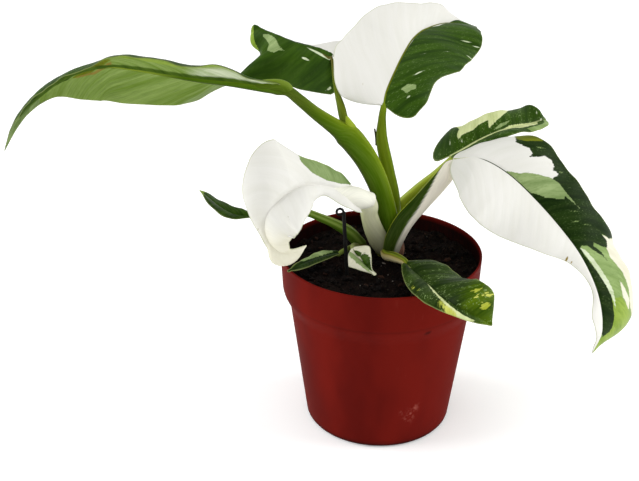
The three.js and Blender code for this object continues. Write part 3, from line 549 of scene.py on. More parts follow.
def frames(shape, t):
    """The value, direction, side and upper direction of a curve that heads outward at an angle."""
    value, slope = along(shape["rows"], t)
    tangent = unit(slope[:, :3])
    heading = math.radians(shape["heading"])
    side = np.array([math.sin(heading), -math.cos(heading), 0.0])
    side = unit(side - (tangent @ side)[:, None] * tangent)
    return value, tangent, side, np.cross(side, tangent)


def blade_surface(leaf, t, v):
    """The blade's middle surface over t and v, how far its points lie ahead of and beside their rows, and
    the half-widths of the rows."""
    value, tangent, side, up = frames(leaf, t)
    rows = t[:, None]
    half = (v > 0).astype(int)
    hand = np.where(v > 0, 1.0, -1.0)
    q = np.abs(v)
    tip = np.clip((1 - rows) / BLADE["tip_share"], BLADE["tip_width"], 1)
    start = np.clip(1 - rows / leaf.get("round", BLADE["round"]), 0, 1)
    opening = np.maximum(np.sqrt(1 - start * start), BLADE["start_width"])
    width = np.maximum(value[:, [3, 5]][:, half], tip) * opening
    tilt = (value[:, 6] - value[:, 4])[:, None] * hand / 2
    fold = np.clip((value[:, 3] + value[:, 5]) / (2 * BLADE["fold_width"]), 0, 1)[:, None]
    slope = np.radians(tilt + (value[:, [4, 6]][:, half] - tilt) * fold)
    base = np.maximum(0, 1 - rows / BLADE["lobe_length"]) ** 2
    forward, lobe = (np.asarray(leaf[key], float)[half] for key in ("forward", "lobe"))
    later = BLADE["early_sweep"] + (1 - BLADE["early_sweep"]) * rows
    sweep = np.radians(forward * later * (1 - base) - lobe * base * q * q)
    across = side[:, None] * (hand * np.cos(slope))[..., None] + up[:, None] * np.sin(slope)[..., None]
    normal = up[:, None] * np.cos(slope)[..., None] - side[:, None] * (hand * np.sin(slope))[..., None]
    ripple = np.sin(2 * np.pi * (leaf["waves"] * rows + BLADE["wave_shift"] * half)) * np.sin(np.pi * rows)
    lift = width * (leaf["camber"] * 4 * q * (1 - q) + leaf["wave"] * ripple * q * q)
    ahead = width * q * np.sin(sweep)
    beside = width * q * np.cos(sweep)
    place = value[:, None, :3] + across * beside[..., None] + tangent[:, None] * ahead[..., None]
    return place + normal * lift[..., None], ahead, beside, width


def midrib_length(leaf, t):
    """The length of the midrib from the stalk to each t, in millimetres."""
    fine = np.linspace(0, 1, 401)
    place = along(leaf["rows"], fine)[0][:, :3]
    run = np.concatenate([[0], np.cumsum(np.linalg.norm(np.diff(place, axis=0), axis=1))])
    beyond = np.maximum(t - 1, 0) + np.minimum(t, 0)
    return np.interp(t, fine, run) + beyond * run[-1]


def vein_place(leaf, t, v):
    """For each point, where its side vein leaves the midrib and how far out it lies, in millimetres."""
    _, ahead, beside, width = blade_surface(leaf, t, v)
    bend = leaf.get("lean", VEIN["lean"]) * beside + VEIN["arc"] * beside**2 / width.max()
    return midrib_length(leaf, t)[:, None] + ahead - bend, beside


def signed_distance(points, outline):
    """How deep each flat point lies inside an outline, and negative outside."""
    nearest = np.full(len(points), np.inf)
    inside = np.zeros(len(points), bool)
    x, y = points.T
    for (ax, ay), (bx, by) in zip(outline, np.roll(outline, -1, axis=0)):
        dx, dy = bx - ax, by - ay
        share = np.clip(((x - ax) * dx + (y - ay) * dy) / (dx * dx + dy * dy), 0, 1)
        nearest = np.minimum(nearest, np.hypot(x - ax - share * dx, y - ay - share * dy))
        crossing = ax + (y - ay) * dx / (dy if dy else 1)
        inside ^= ((ay > y) != (by > y)) & (x < crossing)
    return np.where(inside, nearest, -nearest)


def zone_distance(leaf, t, v, outline):
    """How far each point of the blade lies inside a zone's outline, in millimetres."""
    reach = max(row[k] for row in leaf["rows"] for k in (3, 5))
    points = np.stack(np.meshgrid(midrib_length(leaf, t), v * reach, indexing="ij"), -1).reshape(-1, 2)
    corner_t, corner_v = np.array(outline).T / 100
    return signed_distance(points, np.column_stack([midrib_length(leaf, corner_t), corner_v * reach]))


def mark_strength(leaf, t, v, marks):
    """How deep each point lies in the nearest small mark, in millimetres, and negative outside all."""
    start, beside = vein_place(leaf, t, v)
    strength = np.full(start.shape, -50.0)
    for mark_t, mark_v, length, width in marks:
        at, out = vein_place(leaf, np.array([mark_t / 100]), np.array([mark_v / 100]))
        away = np.hypot((start - at[0, 0]) / width, (beside - out[0, 0]) / length)
        same = (np.sign(v) == np.sign(mark_v))[None]
        strength = np.where(same, np.maximum(strength, (1 - away) * width), strength)
    return strength.ravel()


def closed_sheet(rows, columns):
    """The faces of a sheet's upper grid, of its lower grid after it, and of the wall round them."""
    grid = np.arange(rows * columns).reshape(rows, columns)
    low = rows * columns
    a, b = grid[:-1, :-1].ravel(), grid[1:, :-1].ravel()
    top = np.column_stack([a, a + 1, b + 1, b])
    under = np.column_stack([a, b, b + 1, a + 1]) + low
    edge = np.concatenate([grid[0, :-1], grid[:-1, -1], grid[-1, :0:-1], grid[:0:-1, 0]])
    ahead = np.roll(edge, -1)
    return top, under, np.column_stack([edge, edge + low, ahead + low, ahead])


def ring_walls(count, sides):
    """The faces between rings of points, outward where the rings turn left and climb."""
    grid = np.arange(count * sides).reshape(count, sides)
    near, far = grid[:-1], grid[1:]
    return np.stack([near, np.roll(near, -1, 1), np.roll(far, -1, 1), far], -1).reshape(-1, 4).tolist()


def closed_rings(rings, first, last, turned=False):
    """The points and faces of a body of rings, closed at each end by a fan round a middle point. Rings that
    turn right as they climb are turned."""
    count, sides = rings.shape[:2]
    middle = count * sides
    faces = ring_walls(count, sides)
    faces += [(middle, (k + 1) % sides, k) for k in range(sides)]
    faces += [(middle + 1, middle - sides + k, middle - sides + (k + 1) % sides) for k in range(sides)]
    if turned:
        faces = [face[::-1] for face in faces]
    return np.vstack([rings.reshape(-1, 3), first, last]), faces


def circles(radius, height, sides):
    """Circles of points round the Z axis."""
    angle = 2 * np.pi * np.arange(sides) / sides
    return np.stack(np.broadcast_arrays(radius * np.cos(angle), radius * np.sin(angle), height), -1)


def store(mesh, attributes):
    """Stores values, places or tints on a mesh's points."""
    for key, values in attributes.items():
        values = np.asarray(values, np.float32)
        kind, field = ("FLOAT", "value") if values.ndim == 1 else ("FLOAT_VECTOR", "vector")
        if key == "tint":
            values = np.column_stack([values, np.ones(len(values), np.float32)])
            kind, field = "FLOAT_COLOR", "color"
        mesh.attributes.new(key, kind, "POINT").data.foreach_set(field, values.ravel())


def new_mesh(name, points, faces, attributes=None):
    """A smooth mesh in metres from points in millimetres."""
    mesh = bpy.data.meshes.new(name)
    mesh.from_pydata((np.asarray(points) * MM).tolist(), [], [list(face) for face in faces])
    store(mesh, attributes or {})
    mesh.polygons.foreach_set("use_smooth", np.ones(len(mesh.polygons), bool))
    mesh.update()
    return mesh


def add_object(name, data):
    """Puts an object in the scene."""
    added = bpy.data.objects.new(name, data)
    bpy.context.scene.collection.objects.link(added)
    return added


def add_piece(mesh, node, slot, materials):
    """Puts a mesh in the scene as a piece that stands for a node."""
    piece = add_object(mesh.name, mesh)
    for material in materials:
        mesh.materials.append(material)
    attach(piece, "root")
    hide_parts(node)
    return piece


class Paint:
    """A material's nodes and its colour so far. A socket or a number may stand for any value."""

    def __init__(self, name):
        self.material = bpy.data.materials.new(name)
        self.material.use_nodes = True
        self.tree = self.material.node_tree
        self.shader = self.tree.nodes["Principled BSDF"]
        self.colour = None

    def node(self, kind, inputs=(), **settings):
        node = self.tree.nodes.new(kind)
        for key, value in settings.items():
            setattr(node, key, value)
        for key, value in dict(inputs).items():
            self.feed(node.inputs[key], value)
        return node

    def feed(self, socket, value):
        if isinstance(value, bpy.types.NodeSocket):
            self.tree.links.new(value, socket)
        else:
            socket.default_value = value

    def stored(self, key, output="Fac"):
        return self.node("ShaderNodeAttribute", attribute_name=key).outputs[output]

    def maths(self, operation, a, b):
        return self.node("ShaderNodeMath", {0: a, 1: b}, operation=operation).outputs[0]

    def times(self, a, b):
        return self.maths("MULTIPLY", a, b)

    def blend(self, a, b, share, other):
        """Two values, each times its own number, added up."""
        return self.maths("ADD", self.times(a, share), self.times(b, other))

    def stray(self, noise, amount):
        """A noise that strays by up to half the amount to either side of nothing."""
        return self.times(self.maths("SUBTRACT", noise, 0.5), amount)

    def noise(self, place, scale, shift=0.0, detail=3.0, roughness=0.55):
        """A noise over a place. Its scale is one number, or three that stretch it."""
        if isinstance(scale, tuple):
            moved = {"Vector": place, "Scale": scale, "Location": (shift, shift * 0.7, shift * 0.3)}
            place = self.node("ShaderNodeMapping", moved).outputs[0]
            scale = 1.0
        inputs = {"Vector": place, "Scale": scale, "Detail": detail, "Roughness": roughness}
        return self.node("ShaderNodeTexNoise", inputs).outputs["Fac"]

    def object_place(self):
        return self.node("ShaderNodeTexCoord").outputs["Object"]

    def brightness(self):
        return self.node("ShaderNodeRGBToBW", {"Color": self.colour}).outputs[0]

    def step(self, value, low, high, start=0.0, end=1.0):
        inputs = {"Value": value, "From Min": low, "From Max": high, "To Min": start, "To Max": end}
        return self.node("ShaderNodeMapRange", inputs, interpolation_type="SMOOTHSTEP").outputs[0]

    def mix(self, share, a, b):
        node = self.node("ShaderNodeMix", data_type="RGBA")
        self.feed(node.inputs["Factor"], share)
        for socket, colour in ((node.inputs[6], a), (node.inputs[7], b)):
            self.feed(socket, colour if isinstance(colour, bpy.types.NodeSocket) else (*colour, 1.0))
        return node.outputs[2]

    def tone(self, pair, share):
        return self.mix(share, screen(pair[0]), screen(pair[1]))

    def cover(self, share, colour):
        """Lays a colour over the colour so far."""
        self.colour = self.mix(share, self.colour, colour)

    def finish(self, roughness, height=None, strength=0.5, depth=0.0003, **fixed):
        self.feed(self.shader.inputs["Base Color"], self.colour)
        self.feed(self.shader.inputs["Roughness"], roughness)
        if height is not None:
            inputs = {"Height": height, "Strength": strength, "Distance": depth}
            self.feed(self.shader.inputs["Normal"], self.node("ShaderNodeBump", inputs).outputs[0])
        for key, value in fixed.items():
            self.shader.inputs[key.replace("_", " ")].default_value = value
        return self.material


def leaf_material(name, looks, upper, seed):
    """A blade's upper or lower face: its base tone, zones, specks, veins, marks, midrib and rim."""
    paint = Paint(name)
    place = paint.stored("leaf_mm", "Vector")

    def noise(key):
        scales, shift, *rest = NOISES[key]
        return paint.noise(place, scales, seed + shift, *rest)

    broad, streak, grain = noise("broad"), noise("streak"), noise("grain")
    wander = paint.maths("ADD", paint.stray(streak, EDGE["streak"]), paint.stray(grain, EDGE["grain"]))
    share = paint.step(paint.blend(broad, streak, 0.78, 0.22), 0.28, 0.72)

    def cover(strength, tone):
        paint.cover(strength, paint.tone(TONES[tone], share))

    face = "zones" if upper else "under_zones"
    paint.colour = paint.tone(TONES[looks["base" if upper else "under"]], share)
    for i, (tone, _, *edge) in enumerate(looks.get(face, ())):
        stray, soft = edge or (1.0, EDGE["soft"])
        distance = paint.maths("ADD", paint.stored(f"{face}_{i}"), paint.times(wander, stray))
        cover(paint.step(distance, -soft, soft), tone)
    if "specks" in looks:
        dots = paint.times(paint.step(noise("dots"), 0.62, 0.7), paint.step(broad, 0.4, 0.55))
        dots = paint.times(paint.times(dots, 0.6 * looks["specks"]), paint.step(paint.brightness(), 0.3, 0.2))
        paint.cover(dots, screen(SPECK_TONE))
    bright = paint.brightness()
    patch = paint.times(paint.step(bright, 0.1, 0.25), paint.step(bright, 0.62, 0.5))
    paint.cover(paint.times(patch, paint.step(noise("speckle"), 0.45, 0.7, 0.0, 0.4)), screen(MOTTLE_TONE))
    paint.cover(paint.times(paint.stored("vein"), 0.1 if upper else 0.2), screen(VEIN["tone"]))
    if upper and "flecks" in looks:
        stray = paint.stray(noise("blotch"), looks.get("fleck_wander", 1.5))
        depth = paint.maths("ADD", paint.stored("fleck"), stray)
        cover(paint.step(depth, -0.3, 0.5), looks["flecks"][0])
    if upper and "spots" in looks:
        depth = paint.maths("ADD", paint.stored("spot"), paint.times(wander, 0.15))
        cover(paint.step(depth, -0.1, 0.25), "brown")
    if upper and "midrib" in looks:
        tone, reach, _ = looks["midrib"]
        line = paint.step(paint.stored("beside"), reach * 1.3, reach * 0.6)
        cover(paint.times(line, paint.stored("midrib")), tone)
    if not upper and "rib" in looks:
        line = paint.step(paint.stored("rib"), 1.5, 0.9)
        cover(paint.times(line, paint.stored("midrib")), looks["rib"])
    rim = paint.step(paint.stored("margin"), 0.75, 0.15)
    paint.cover(paint.times(rim, 0.45), screen(VEIN["rim_tone"]))
    gloss = paint.step(grain, 0.3, 0.7, *GLOSS["upper" if upper else "under"])
    return paint.finish(gloss, paint.blend(streak, grain, 0.6, 0.4), 0.3, 0.0002, Specular_IOR_Level=0.04)


def blade_skins(leaf, t, v, seed):
    """A blade's upper and lower skins, with veins, a midrib and a thin edge, and what its material reads."""
    middle, _, beside, width = blade_surface(leaf, t, v)
    start, _ = vein_place(leaf, t, v)
    side = np.broadcast_to(np.where(v > 0, 1.0, -1.0), start.shape)
    reach = width.max()
    margin = width * (1 - np.abs(v))

    spacing = np.clip(reach / VEIN["per_width"], VEIN["closest"], VEIN["widest"])
    turn = start / spacing + VEIN["stagger"] * side
    fade = smooth(0.0, VEIN["edge_fade"] * reach, margin) * smooth(*VEIN["midrib_fade"], beside)
    fade = fade * leaf.get("relief", 1)
    vein = bell((turn - np.round(turn)) * spacing, VEIN["width"]) * fade
    quilt = VEIN["quilt"] * (0.5 - 0.5 * np.cos(2 * np.pi * turn)) * fade
    run = midrib_length(leaf, t)[:, None]
    ruffle = v**4 * smooth(0, 0.1, 1 - t)[:, None] * sum(
        depth * np.sin(run / length + times * (seed + side))
        for times, (depth, length) in enumerate(RUFFLES, 1)
    )
    normal = unit(np.cross(np.gradient(middle, axis=1), np.gradient(middle, axis=0)))
    middle = middle + normal * (quilt + ruffle)[..., None]

    thin = smooth(0, BLADE["edge_band"], margin)
    half = (BLADE["edge"] + (BLADE["thickness"] - BLADE["edge"]) * thin) / 2
    taper = (1 - t)[:, None]
    room = smooth(*MIDRIB["edge_fade"], margin)
    groove = MIDRIB["groove"] * bell(beside, MIDRIB["groove_width"]) * np.sqrt(taper) * room
    rib_width = MIDRIB["least_width"] + MIDRIB["width_per_height"] * leaf["rib"] * taper
    rib = leaf["rib"] * taper * bell(beside, rib_width) * room
    top = middle + normal * (half - groove - VEIN["depth"] * vein)[..., None]
    bottom = middle - normal * (half + rib + VEIN["depth"] * vein)[..., None]
    place = np.stack([start, beside, BLADE["halves_apart"] * side], -1).reshape(-1, 3)
    flat = {"vein": vein, "beside": beside, "margin": margin, "rib": beside / rib_width}
    return top, bottom, {"leaf_mm": place, **{key: values.ravel() for key, values in flat.items()}}


def leaf_piece(name, leaf, looks, seed, materials=None):
    """A blade or the husk as one closed sheet. A blade has one material above and one below."""
    whole = midrib_length(leaf, np.array([1.0]))[0]
    t = np.linspace(0, BLADE["last"], int(whole / BLADE["step"]) + 1)
    spread = np.linspace(0, 1, leaf.get("columns", BLADE["columns"]) + 1)[1:] ** BLADE["crowding"]
    q = np.unique(np.concatenate([spread, BLADE["edge_columns"]]))
    v = np.concatenate([-q[::-1], [0], q])
    top, bottom, attributes = blade_skins(leaf, t, v, seed)
    if looks:
        begin = looks.get("midrib", (0,))[-1]
        begun = smooth(0, 0.2, 1 - t) * (smooth(begin, begin + 0.05, t) if begin else 1)
        attributes["midrib"] = np.repeat(begun, len(v))
        for face in ("zones", "under_zones"):
            for i, (_, outline, *_) in enumerate(looks.get(face, ())):
                attributes[f"{face}_{i}"] = zone_distance(leaf, t, v, outline)
        if "flecks" in looks:
            attributes["fleck"] = mark_strength(leaf, t, v, looks["flecks"][1])
        if "spots" in looks:
            attributes["spot"] = mark_strength(leaf, t, v, looks["spots"])
        skins = (("upper", True), ("under", False))
        materials = [leaf_material(f"{name}_{skin}", looks, upper, seed) for skin, upper in skins]
    above, under, walls = closed_sheet(len(t), len(v))
    points = np.vstack([top.reshape(-1, 3), bottom.reshape(-1, 3)])
    attributes = {key: np.concatenate([values, values]) for key, values in attributes.items()}
    mesh = new_mesh(f"{name}_blade", points, np.vstack([above, walls, under]), attributes)
    worn = np.zeros(len(mesh.polygons), np.int32)
    worn[-len(under):] = len(materials) - 1
    mesh.polygons.foreach_set("material_index", worn)
    add_piece(mesh, name, leaf["slot"], materials)


def under_blade(leaf, run, size):
    """The rows of a stalk or rib that runs on under a blade's midrib and thins out."""
    value, _, _, up = frames(leaf, np.array(run["places"]))
    return [
        (*(place - lift * share * (size[1] / 2 - run.get("sunk", 0))), *(size * share), 0.0)
        for share, place, lift in zip(run["sizes"], value[:, :3], up)
    ]


def tube_tints(looks, around, t, heights, foot_share):
    """The colours of a stalk: its bands, which may drift round it, then its foot and its end."""
    looks = {**TINTS, **looks}
    turns = np.array([band[0] for band in looks["bands"]], float)
    drifts = np.array([sum(band[2:]) for band in looks["bands"]])
    tones = screen([band[1] for band in looks["bands"]])
    colour = np.array([
        [np.interp(around, turns + drifts * share, tones[:, k], period=360) for k in range(3)]
        for share in smooth(looks["shift_from"], looks["shift_by"], t)
    ]).transpose(0, 2, 1)
    foot = foot_share * (1 - smooth(looks["foot_bottom"], looks["foot_top"], heights))
    end = smooth(looks["end_from"], looks["end_by"], t)
    for share, tone in ((foot, looks["foot"]), (end, looks["end"])):
        colour = colour + (screen(tone) - colour) * share[:, None, None]
    return colour


def tube_mesh(name, stalk, looks, foot_share=0.0):
    """A fine oval tube with a channel on its upper side, and its tints."""
    length = np.linalg.norm(np.diff([row[:3] for row in stalk["rows"]], axis=0), axis=1).sum()
    t = np.linspace(0, 1, int(length / TUBE["step"]) + 2)
    value, _, side, up = frames(stalk, t)
    wide, thick, channel = (value[:, k, None] for k in (3, 4, 5))
    angle = 2 * np.pi * (np.arange(TUBE["sides"]) + 0.5)[None] / TUBE["sides"]
    x = wide / 2 * np.cos(angle)
    dip = bell(x, TUBE["channel_width"] * wide) * np.clip(np.sin(angle) * TUBE["channel_edge"], 0, 1)
    y = thick / 2 * np.sin(angle) - channel * dip
    rings = value[:, None, :3] + side[:, None] * x[..., None] + up[:, None] * y[..., None]
    points, faces = closed_rings(rings, value[0, :3], value[-1, :3], turned=True)

    colour = tube_tints(looks, np.degrees(angle[0]), t, value[:, 2], foot_share)
    tint = np.vstack([colour.reshape(-1, 3), colour[0].mean(0), colour[-1].mean(0)])
    # The third number gives tubes whose names differ in length streaks of their own.
    spots = np.broadcast_arrays(angle * wide / 2, (t * length)[:, None], 9.0 * len(name))
    place = np.stack(spots, -1).reshape(-1, 3)
    return new_mesh(name, points, faces, {"tint": tint, "stalk_mm": np.vstack([place, place[0], place[-1]])})


def stalk_piece(name, leaf, material):
    """A stalk that tapers in under its blade."""
    size = np.array(leaf["stalk"][-1][3:5]) * leaf.get("run_on", 1)
    rows = [*leaf["stalk"], *under_blade(leaf, UNDER_BLADE, size)]
    stalk = {"heading": leaf["heading"], "rows": rows}
    mesh = tube_mesh(f"{name}_stalk", stalk, STALK_LOOKS[name], FOOT_SHARE)
    add_piece(mesh, f"{leaf['shoot']}_shoot", "stalk", [material])


def rib_piece(name, leaf, looks, material):
    """The stout midrib that runs on from a stalk under its blade and thins out."""
    *place, wide, thick, _ = leaf["stalk"][-1]
    size = np.array([wide, thick], float)
    rows = [(*place, *(LONG_RIB["first"] * size), 0.0), *under_blade(leaf, LONG_RIB, size)]
    mesh = tube_mesh(f"{name}_rib", {"heading": leaf["heading"], "rows": rows}, looks)
    add_piece(mesh, name, leaf["slot"], [material])


def stalk_material():
    """Smooth stalk skin with fine lengthwise streaks."""
    paint = Paint("stalk_skin")
    place = paint.stored("stalk_mm", "Vector")
    streak = paint.noise(place, (1.1, 0.06, 1.0), 0, 4)
    mottle = paint.noise(place, (0.25, 0.12, 1.0), 4)
    tint = paint.stored("tint", "Color")
    dark = paint.mix(0.1, tint, screen(STALK_SHADE))
    light = paint.mix(0.05, tint, screen(STALK_GLINT))
    paint.colour = paint.mix(paint.step(streak, 0.3, 0.7), dark, light)
    paint.cover(paint.times(paint.step(mottle, 0.5, 0.75), 0.3), dark)
    gloss = paint.step(mottle, 0.3, 0.7, 0.32, 0.46)
    return paint.finish(gloss, streak, 0.12, 0.0002, Specular_IOR_Level=0.03)


def plain_material(name, pair, scales, roughness, depth, strength=0.5, detail=5):
    """Two tones mixed by a broad and a fine noise, which also makes the relief."""
    paint = Paint(name)
    place = paint.object_place()
    broad, fine = (paint.noise(place, scale, detail=detail) for scale in scales)
    paint.colour = paint.tone(pair, paint.step(paint.blend(broad, fine, 0.55, 0.45), 0.35, 0.65))
    gloss = paint.step(fine, 0.3, 0.7, *roughness)
    return paint.finish(gloss, fine, strength, depth, Specular_IOR_Level=0.06)


def rough(x, y, cell, rng):
    """Smooth random heights from -1 to 1 on a square lattice with the given cell."""
    size = 64
    lattice = rng.uniform(-1, 1, (size, size))
    ix, iy = np.floor(x / cell).astype(int), np.floor(y / cell).astype(int)
    fx, fy = smooth(0, 1, x / cell - ix), smooth(0, 1, y / cell - iy)
    a, b, c, d = (lattice[(ix + i) % size, (iy + j) % size] for j in (0, 1) for i in (0, 1))
    return (a * (1 - fx) + b * fx) * (1 - fy) + (c * (1 - fx) + d * fx) * fy


def outer_radius(height):
    """The pot's outer radius: a straight wall, a soft step to the collar, and the collar."""
    wall = np.interp(height, [POT["heel_height"], POT["waist_height"]], [POT["heel"], POT["waist"]])
    step = (POT["collar"] - POT["waist"]) * smooth(POT["waist_height"], POT["collar_height"], height)
    flare = np.interp(height, [POT["collar_height"], POT["height"]], [0, POT["rim"] - POT["collar"]])
    return wall + step + flare


def lathe(name, profile, sides):
    """A closed body turned about the Z axis from a profile that starts and ends on the axis."""
    profile = np.asarray(profile, float)
    rings = circles(profile[1:-1, :1], profile[1:-1, 1:], sides)
    return new_mesh(name, *closed_rings(rings, (0, 0, profile[0, 1]), (0, 0, profile[-1, 1])))


def pot_profile():
    """The pot's section, from the middle of its underside round its rim to the middle of its floor."""
    rim, top, foot, wall = (POT[key] for key in ("rim", "height", "foot", "wall"))
    heights = np.concatenate([
        np.linspace(POT["heel_height"], POT["waist_height"], 36),
        np.linspace(POT["waist_height"], POT["collar_height"], 15)[1:],
        np.linspace(POT["collar_height"], top - 1.2, 10)[1:],
    ])
    radii = outer_radius(heights)
    outside = zip(radii - POT["line_depth"] * bell(heights - POT["line_height"], 0.8), heights)
    inside = zip(radii[::-1] - wall, heights[::-1])
    base = [(foot - 1, 0), (foot, 0.1), (foot + 1.4, 0.7), (POT["heel"] - 0.4, 1.9)]
    lip = [(rim, top - 0.9), (rim, top - 0.35), (rim - 0.15, top - 0.08), (rim - 0.4, top),
           (rim - 0.8, top), (rim - 1.05, top - 0.08), (rim - wall, top - 0.35)]
    floor = [(foot, wall + 1), (foot - 1, wall), (20, wall), (0, wall)]
    return [(0, 0), (20, 0), *base, *outside, *lip, *inside, *floor]


def pot_marks(x, y, z):
    """Masks from 0 to 1 for painted shade inside the pot, at its foot and in its groove, and for its dot and
    chalk.
    """
    radius = np.hypot(x, y)
    bearing = np.arctan2(y, x)
    skin = smooth(-1.0, -0.5, radius - outer_radius(z))
    marks = {
        "inside": (1 - skin) * (1 - smooth(POT["height"] - 2.4, POT["height"] - 0.4, z)),
        "foot": skin * (1 - smooth(1.0, 4.5, z)),
        "line": skin * bell(z - POT["line_height"], 0.7),
    }
    for key, places in POT_MARKS.items():
        marks[key] = skin * np.max([
            bell((bearing - math.radians(a)) * radius, wide) * bell(z - height, tall)
            for a, height, wide, tall in places
        ], axis=0)
    return marks


def pot_piece():
    """The pot, with a rounded rim, a faint line under its collar and drain holes."""
    mesh = lathe("pot_shell", pot_profile(), 192)
    place = np.empty(3 * len(mesh.vertices), np.float32)
    mesh.vertices.foreach_get("co", place)
    store(mesh, pot_marks(*(place.reshape(-1, 3).T / MM)))
    piece = add_piece(mesh, "pot", "pot_plastic", [pot_material()])
    r = DRAIN["radius"]
    cutters = []
    for i in range(DRAIN["holes"]):
        angle = 2 * math.pi * i / DRAIN["holes"]
        cutter = lathe("drain_cutter", [(0, -1), (r, -1), (r, 3), (0, 3)], DRAIN["sides"])
        hole = add_object(f"drain_cutter_{i}", cutter)
        hole.location = Vector((math.cos(angle), math.sin(angle), 0)) * DRAIN["circle"] * MM
        # Half a side's turn keeps the cutter's corners off the pot's own edges.
        hole.rotation_euler.z = math.pi / DRAIN["sides"]
        cut = piece.modifiers.new("drain", "BOOLEAN")
        cut.object = hole
        cut.solver = "EXACT"
        cutters.append(hole)
    bpy.context.view_layer.update()
    graph = bpy.context.evaluated_depsgraph_get()
    cut_mesh = bpy.data.meshes.new_from_object(piece.evaluated_get(graph))
    cut_mesh.name = "pot_shell_cut"
    piece.modifiers.clear()
    piece.data = cut_mesh
    for hole in cutters:
        bpy.data.objects.remove(hole)


def pot_material():
    """Satin red-brown plastic with a faint mottle, long soft streaks and small scuffs, and painted shade
    inside, at the foot and in the groove.
    """
    paint = Paint("pot_plastic")
    place = paint.object_place()
    broad = paint.noise(place, (22.0, 22.0, 9.0))
    fine = paint.noise(place, (900.0, 900.0, 900.0), 0, 2)
    drag = paint.noise(place, (500.0, 500.0, 60.0), 3)
    dust = paint.noise(place, (420.0, 420.0, 420.0), 5)
    paint.colour = paint.tone(POT_TONES, paint.step(broad, 0.35, 0.65))
    scuff = paint.times(paint.step(drag, 0.64, 0.8), paint.step(broad, 0.5, 0.7))
    paint.cover(paint.times(scuff, 0.12), screen(SCUFF_TONE))
    # Painted shade: the inside is darkened nearly to black.
    inside_shade = paint.times(paint.stored("inside"), paint.step(drag, 0.2, 0.7, 1.0, 0.93))
    # Painted shadow: the foot darkens towards the floor.
    foot = paint.times(paint.stored("foot"), 0.8)
    # Painted shade in the groove under the collar.
    line = paint.times(paint.stored("line"), 0.2)
    for dark in (inside_shade, foot, paint.stored("dot"), line):
        paint.cover(dark, screen(POT_SHADE_AND_DOT_TONE))
    chalk = paint.times(paint.stored("chalk"), paint.step(dust, 0.45, 0.65, 0.0, 0.5))
    paint.cover(chalk, screen(CHALK_TONE))
    return paint.finish(paint.step(broad, 0.3, 0.7, 0.55, 0.7), fine, 0.12, 0.0001, Specular_IOR_Level=0.02)


def soil_height(x, y):
    """The soil's low lumps, which fade out round the main crown."""
    away = np.hypot(x, y) / POT["rim"]
    lumps = np.sin(x * 0.31 + 1) * np.cos(y * 0.27) + 0.6 * np.sin(x * 0.13 - y * 0.22)
    stem = STEMS["main"]
    calm = np.clip((np.hypot(x - stem["x"], y - stem["y"]) - stem["crown"]) / SOIL["calm"], 0, 1)
    return SOIL["level"] + calm * (SOIL["mound"] * (0.5 - away) + SOIL["lump"] * lumps)


def soil_piece(rng):
    """The soil, finely crumbled on top, filling the pot."""
    rings, sides = 120, 240
    inset = POT["wall"] + SOIL["gap"]
    edge = outer_radius(SOIL["level"] - 3) - inset
    top = circles(edge * (np.arange(rings) + 1)[:, None] / rings, 0.0, sides)
    x, y = top[..., 0], top[..., 1]
    top[..., 2] = soil_height(x, y) + sum(depth * rough(x, y, cell, rng) for depth, cell in SOIL["crumb"])
    heights = np.array([*SOIL["side_heights"], SOIL["floor"]])
    radii = np.array([*outer_radius(heights[:-1]), POT["foot"]]) - inset
    walls = circles(radii[:, None], heights[:, None], sides)
    ends = (0, 0, soil_height(0.0, 0.0)), (0, 0, SOIL["floor"])
    mesh = new_mesh("soil_bed", *closed_rings(np.vstack([top, walls]), *ends, turned=True))
    ground = plain_material("soil_ground", SOIL_TONES, (90.0, 700.0), (0.85, 1.0), 0.0008, 0.8)
    add_piece(mesh, "soil", "soil", [ground])


def bits_piece(name, rng, count, sizes, squash, tones, spread):
    """Loose bits on the soil: lumpy, turned at random, each with its own tint."""
    ball = bmesh.new()
    bmesh.ops.create_icosphere(ball, subdivisions=1, radius=1.0)
    shape = np.array([corner.co for corner in ball.verts])
    sides = np.array([[corner.index for corner in face.verts] for face in ball.faces])
    ball.free()
    points, tint = [], []
    low, high = screen(tones[0]), screen(tones[1])
    for _ in range(count):
        size = sizes[0] * (sizes[1] / sizes[0]) ** (rng.random() ** BIT["bias"])
        lump = shape * (1 + rng.uniform(-BIT["lumpiness"], BIT["lumpiness"], (len(shape), 1))) * size
        lump = lump * np.array([1.0, *(rng.uniform(*squash, 2))])
        tilts = rng.uniform(-BIT["tilt"], BIT["tilt"], 2).tolist()
        turn = Euler([*tilts, rng.uniform(0, 2 * math.pi)]).to_matrix()
        lump = lump @ np.array(turn).T
        away, angle = spread * math.sqrt(rng.random()), rng.uniform(0, 2 * math.pi)
        x, y = away * math.cos(angle), away * math.sin(angle)
        height = float(soil_height(x, y)) + BIT["lift"] + BIT["lift_per_size"] * size
        points.append(lump + (x, y, height))
        tint.append(np.broadcast_to(low + (high - low) * rng.random(), lump.shape))
    faces = np.vstack([sides + k * len(shape) for k in range(count)])
    mesh = new_mesh(name, np.vstack(points), faces, {"tint": np.vstack(tint)})
    mesh.polygons.foreach_set("use_smooth", np.zeros(len(mesh.polygons), bool))
    add_piece(mesh, "soil", "soil", [bits_material(f"{name}_matter")])


def bits_material(name):
    """Dull grained matter in each bit's own tint."""
    paint = Paint(name)
    grain = paint.noise(paint.object_place(), (900.0, 500.0, 900.0), 0, 4)
    tint = paint.stored("tint", "Color")
    paint.colour = paint.mix(paint.step(grain, 0.3, 0.7), paint.mix(0.5, tint, (0, 0, 0)), tint)
    return paint.finish(paint.step(grain, 0.3, 0.7, 0.8, 0.98), grain, 0.6, 0.0004, Specular_IOR_Level=0.1)


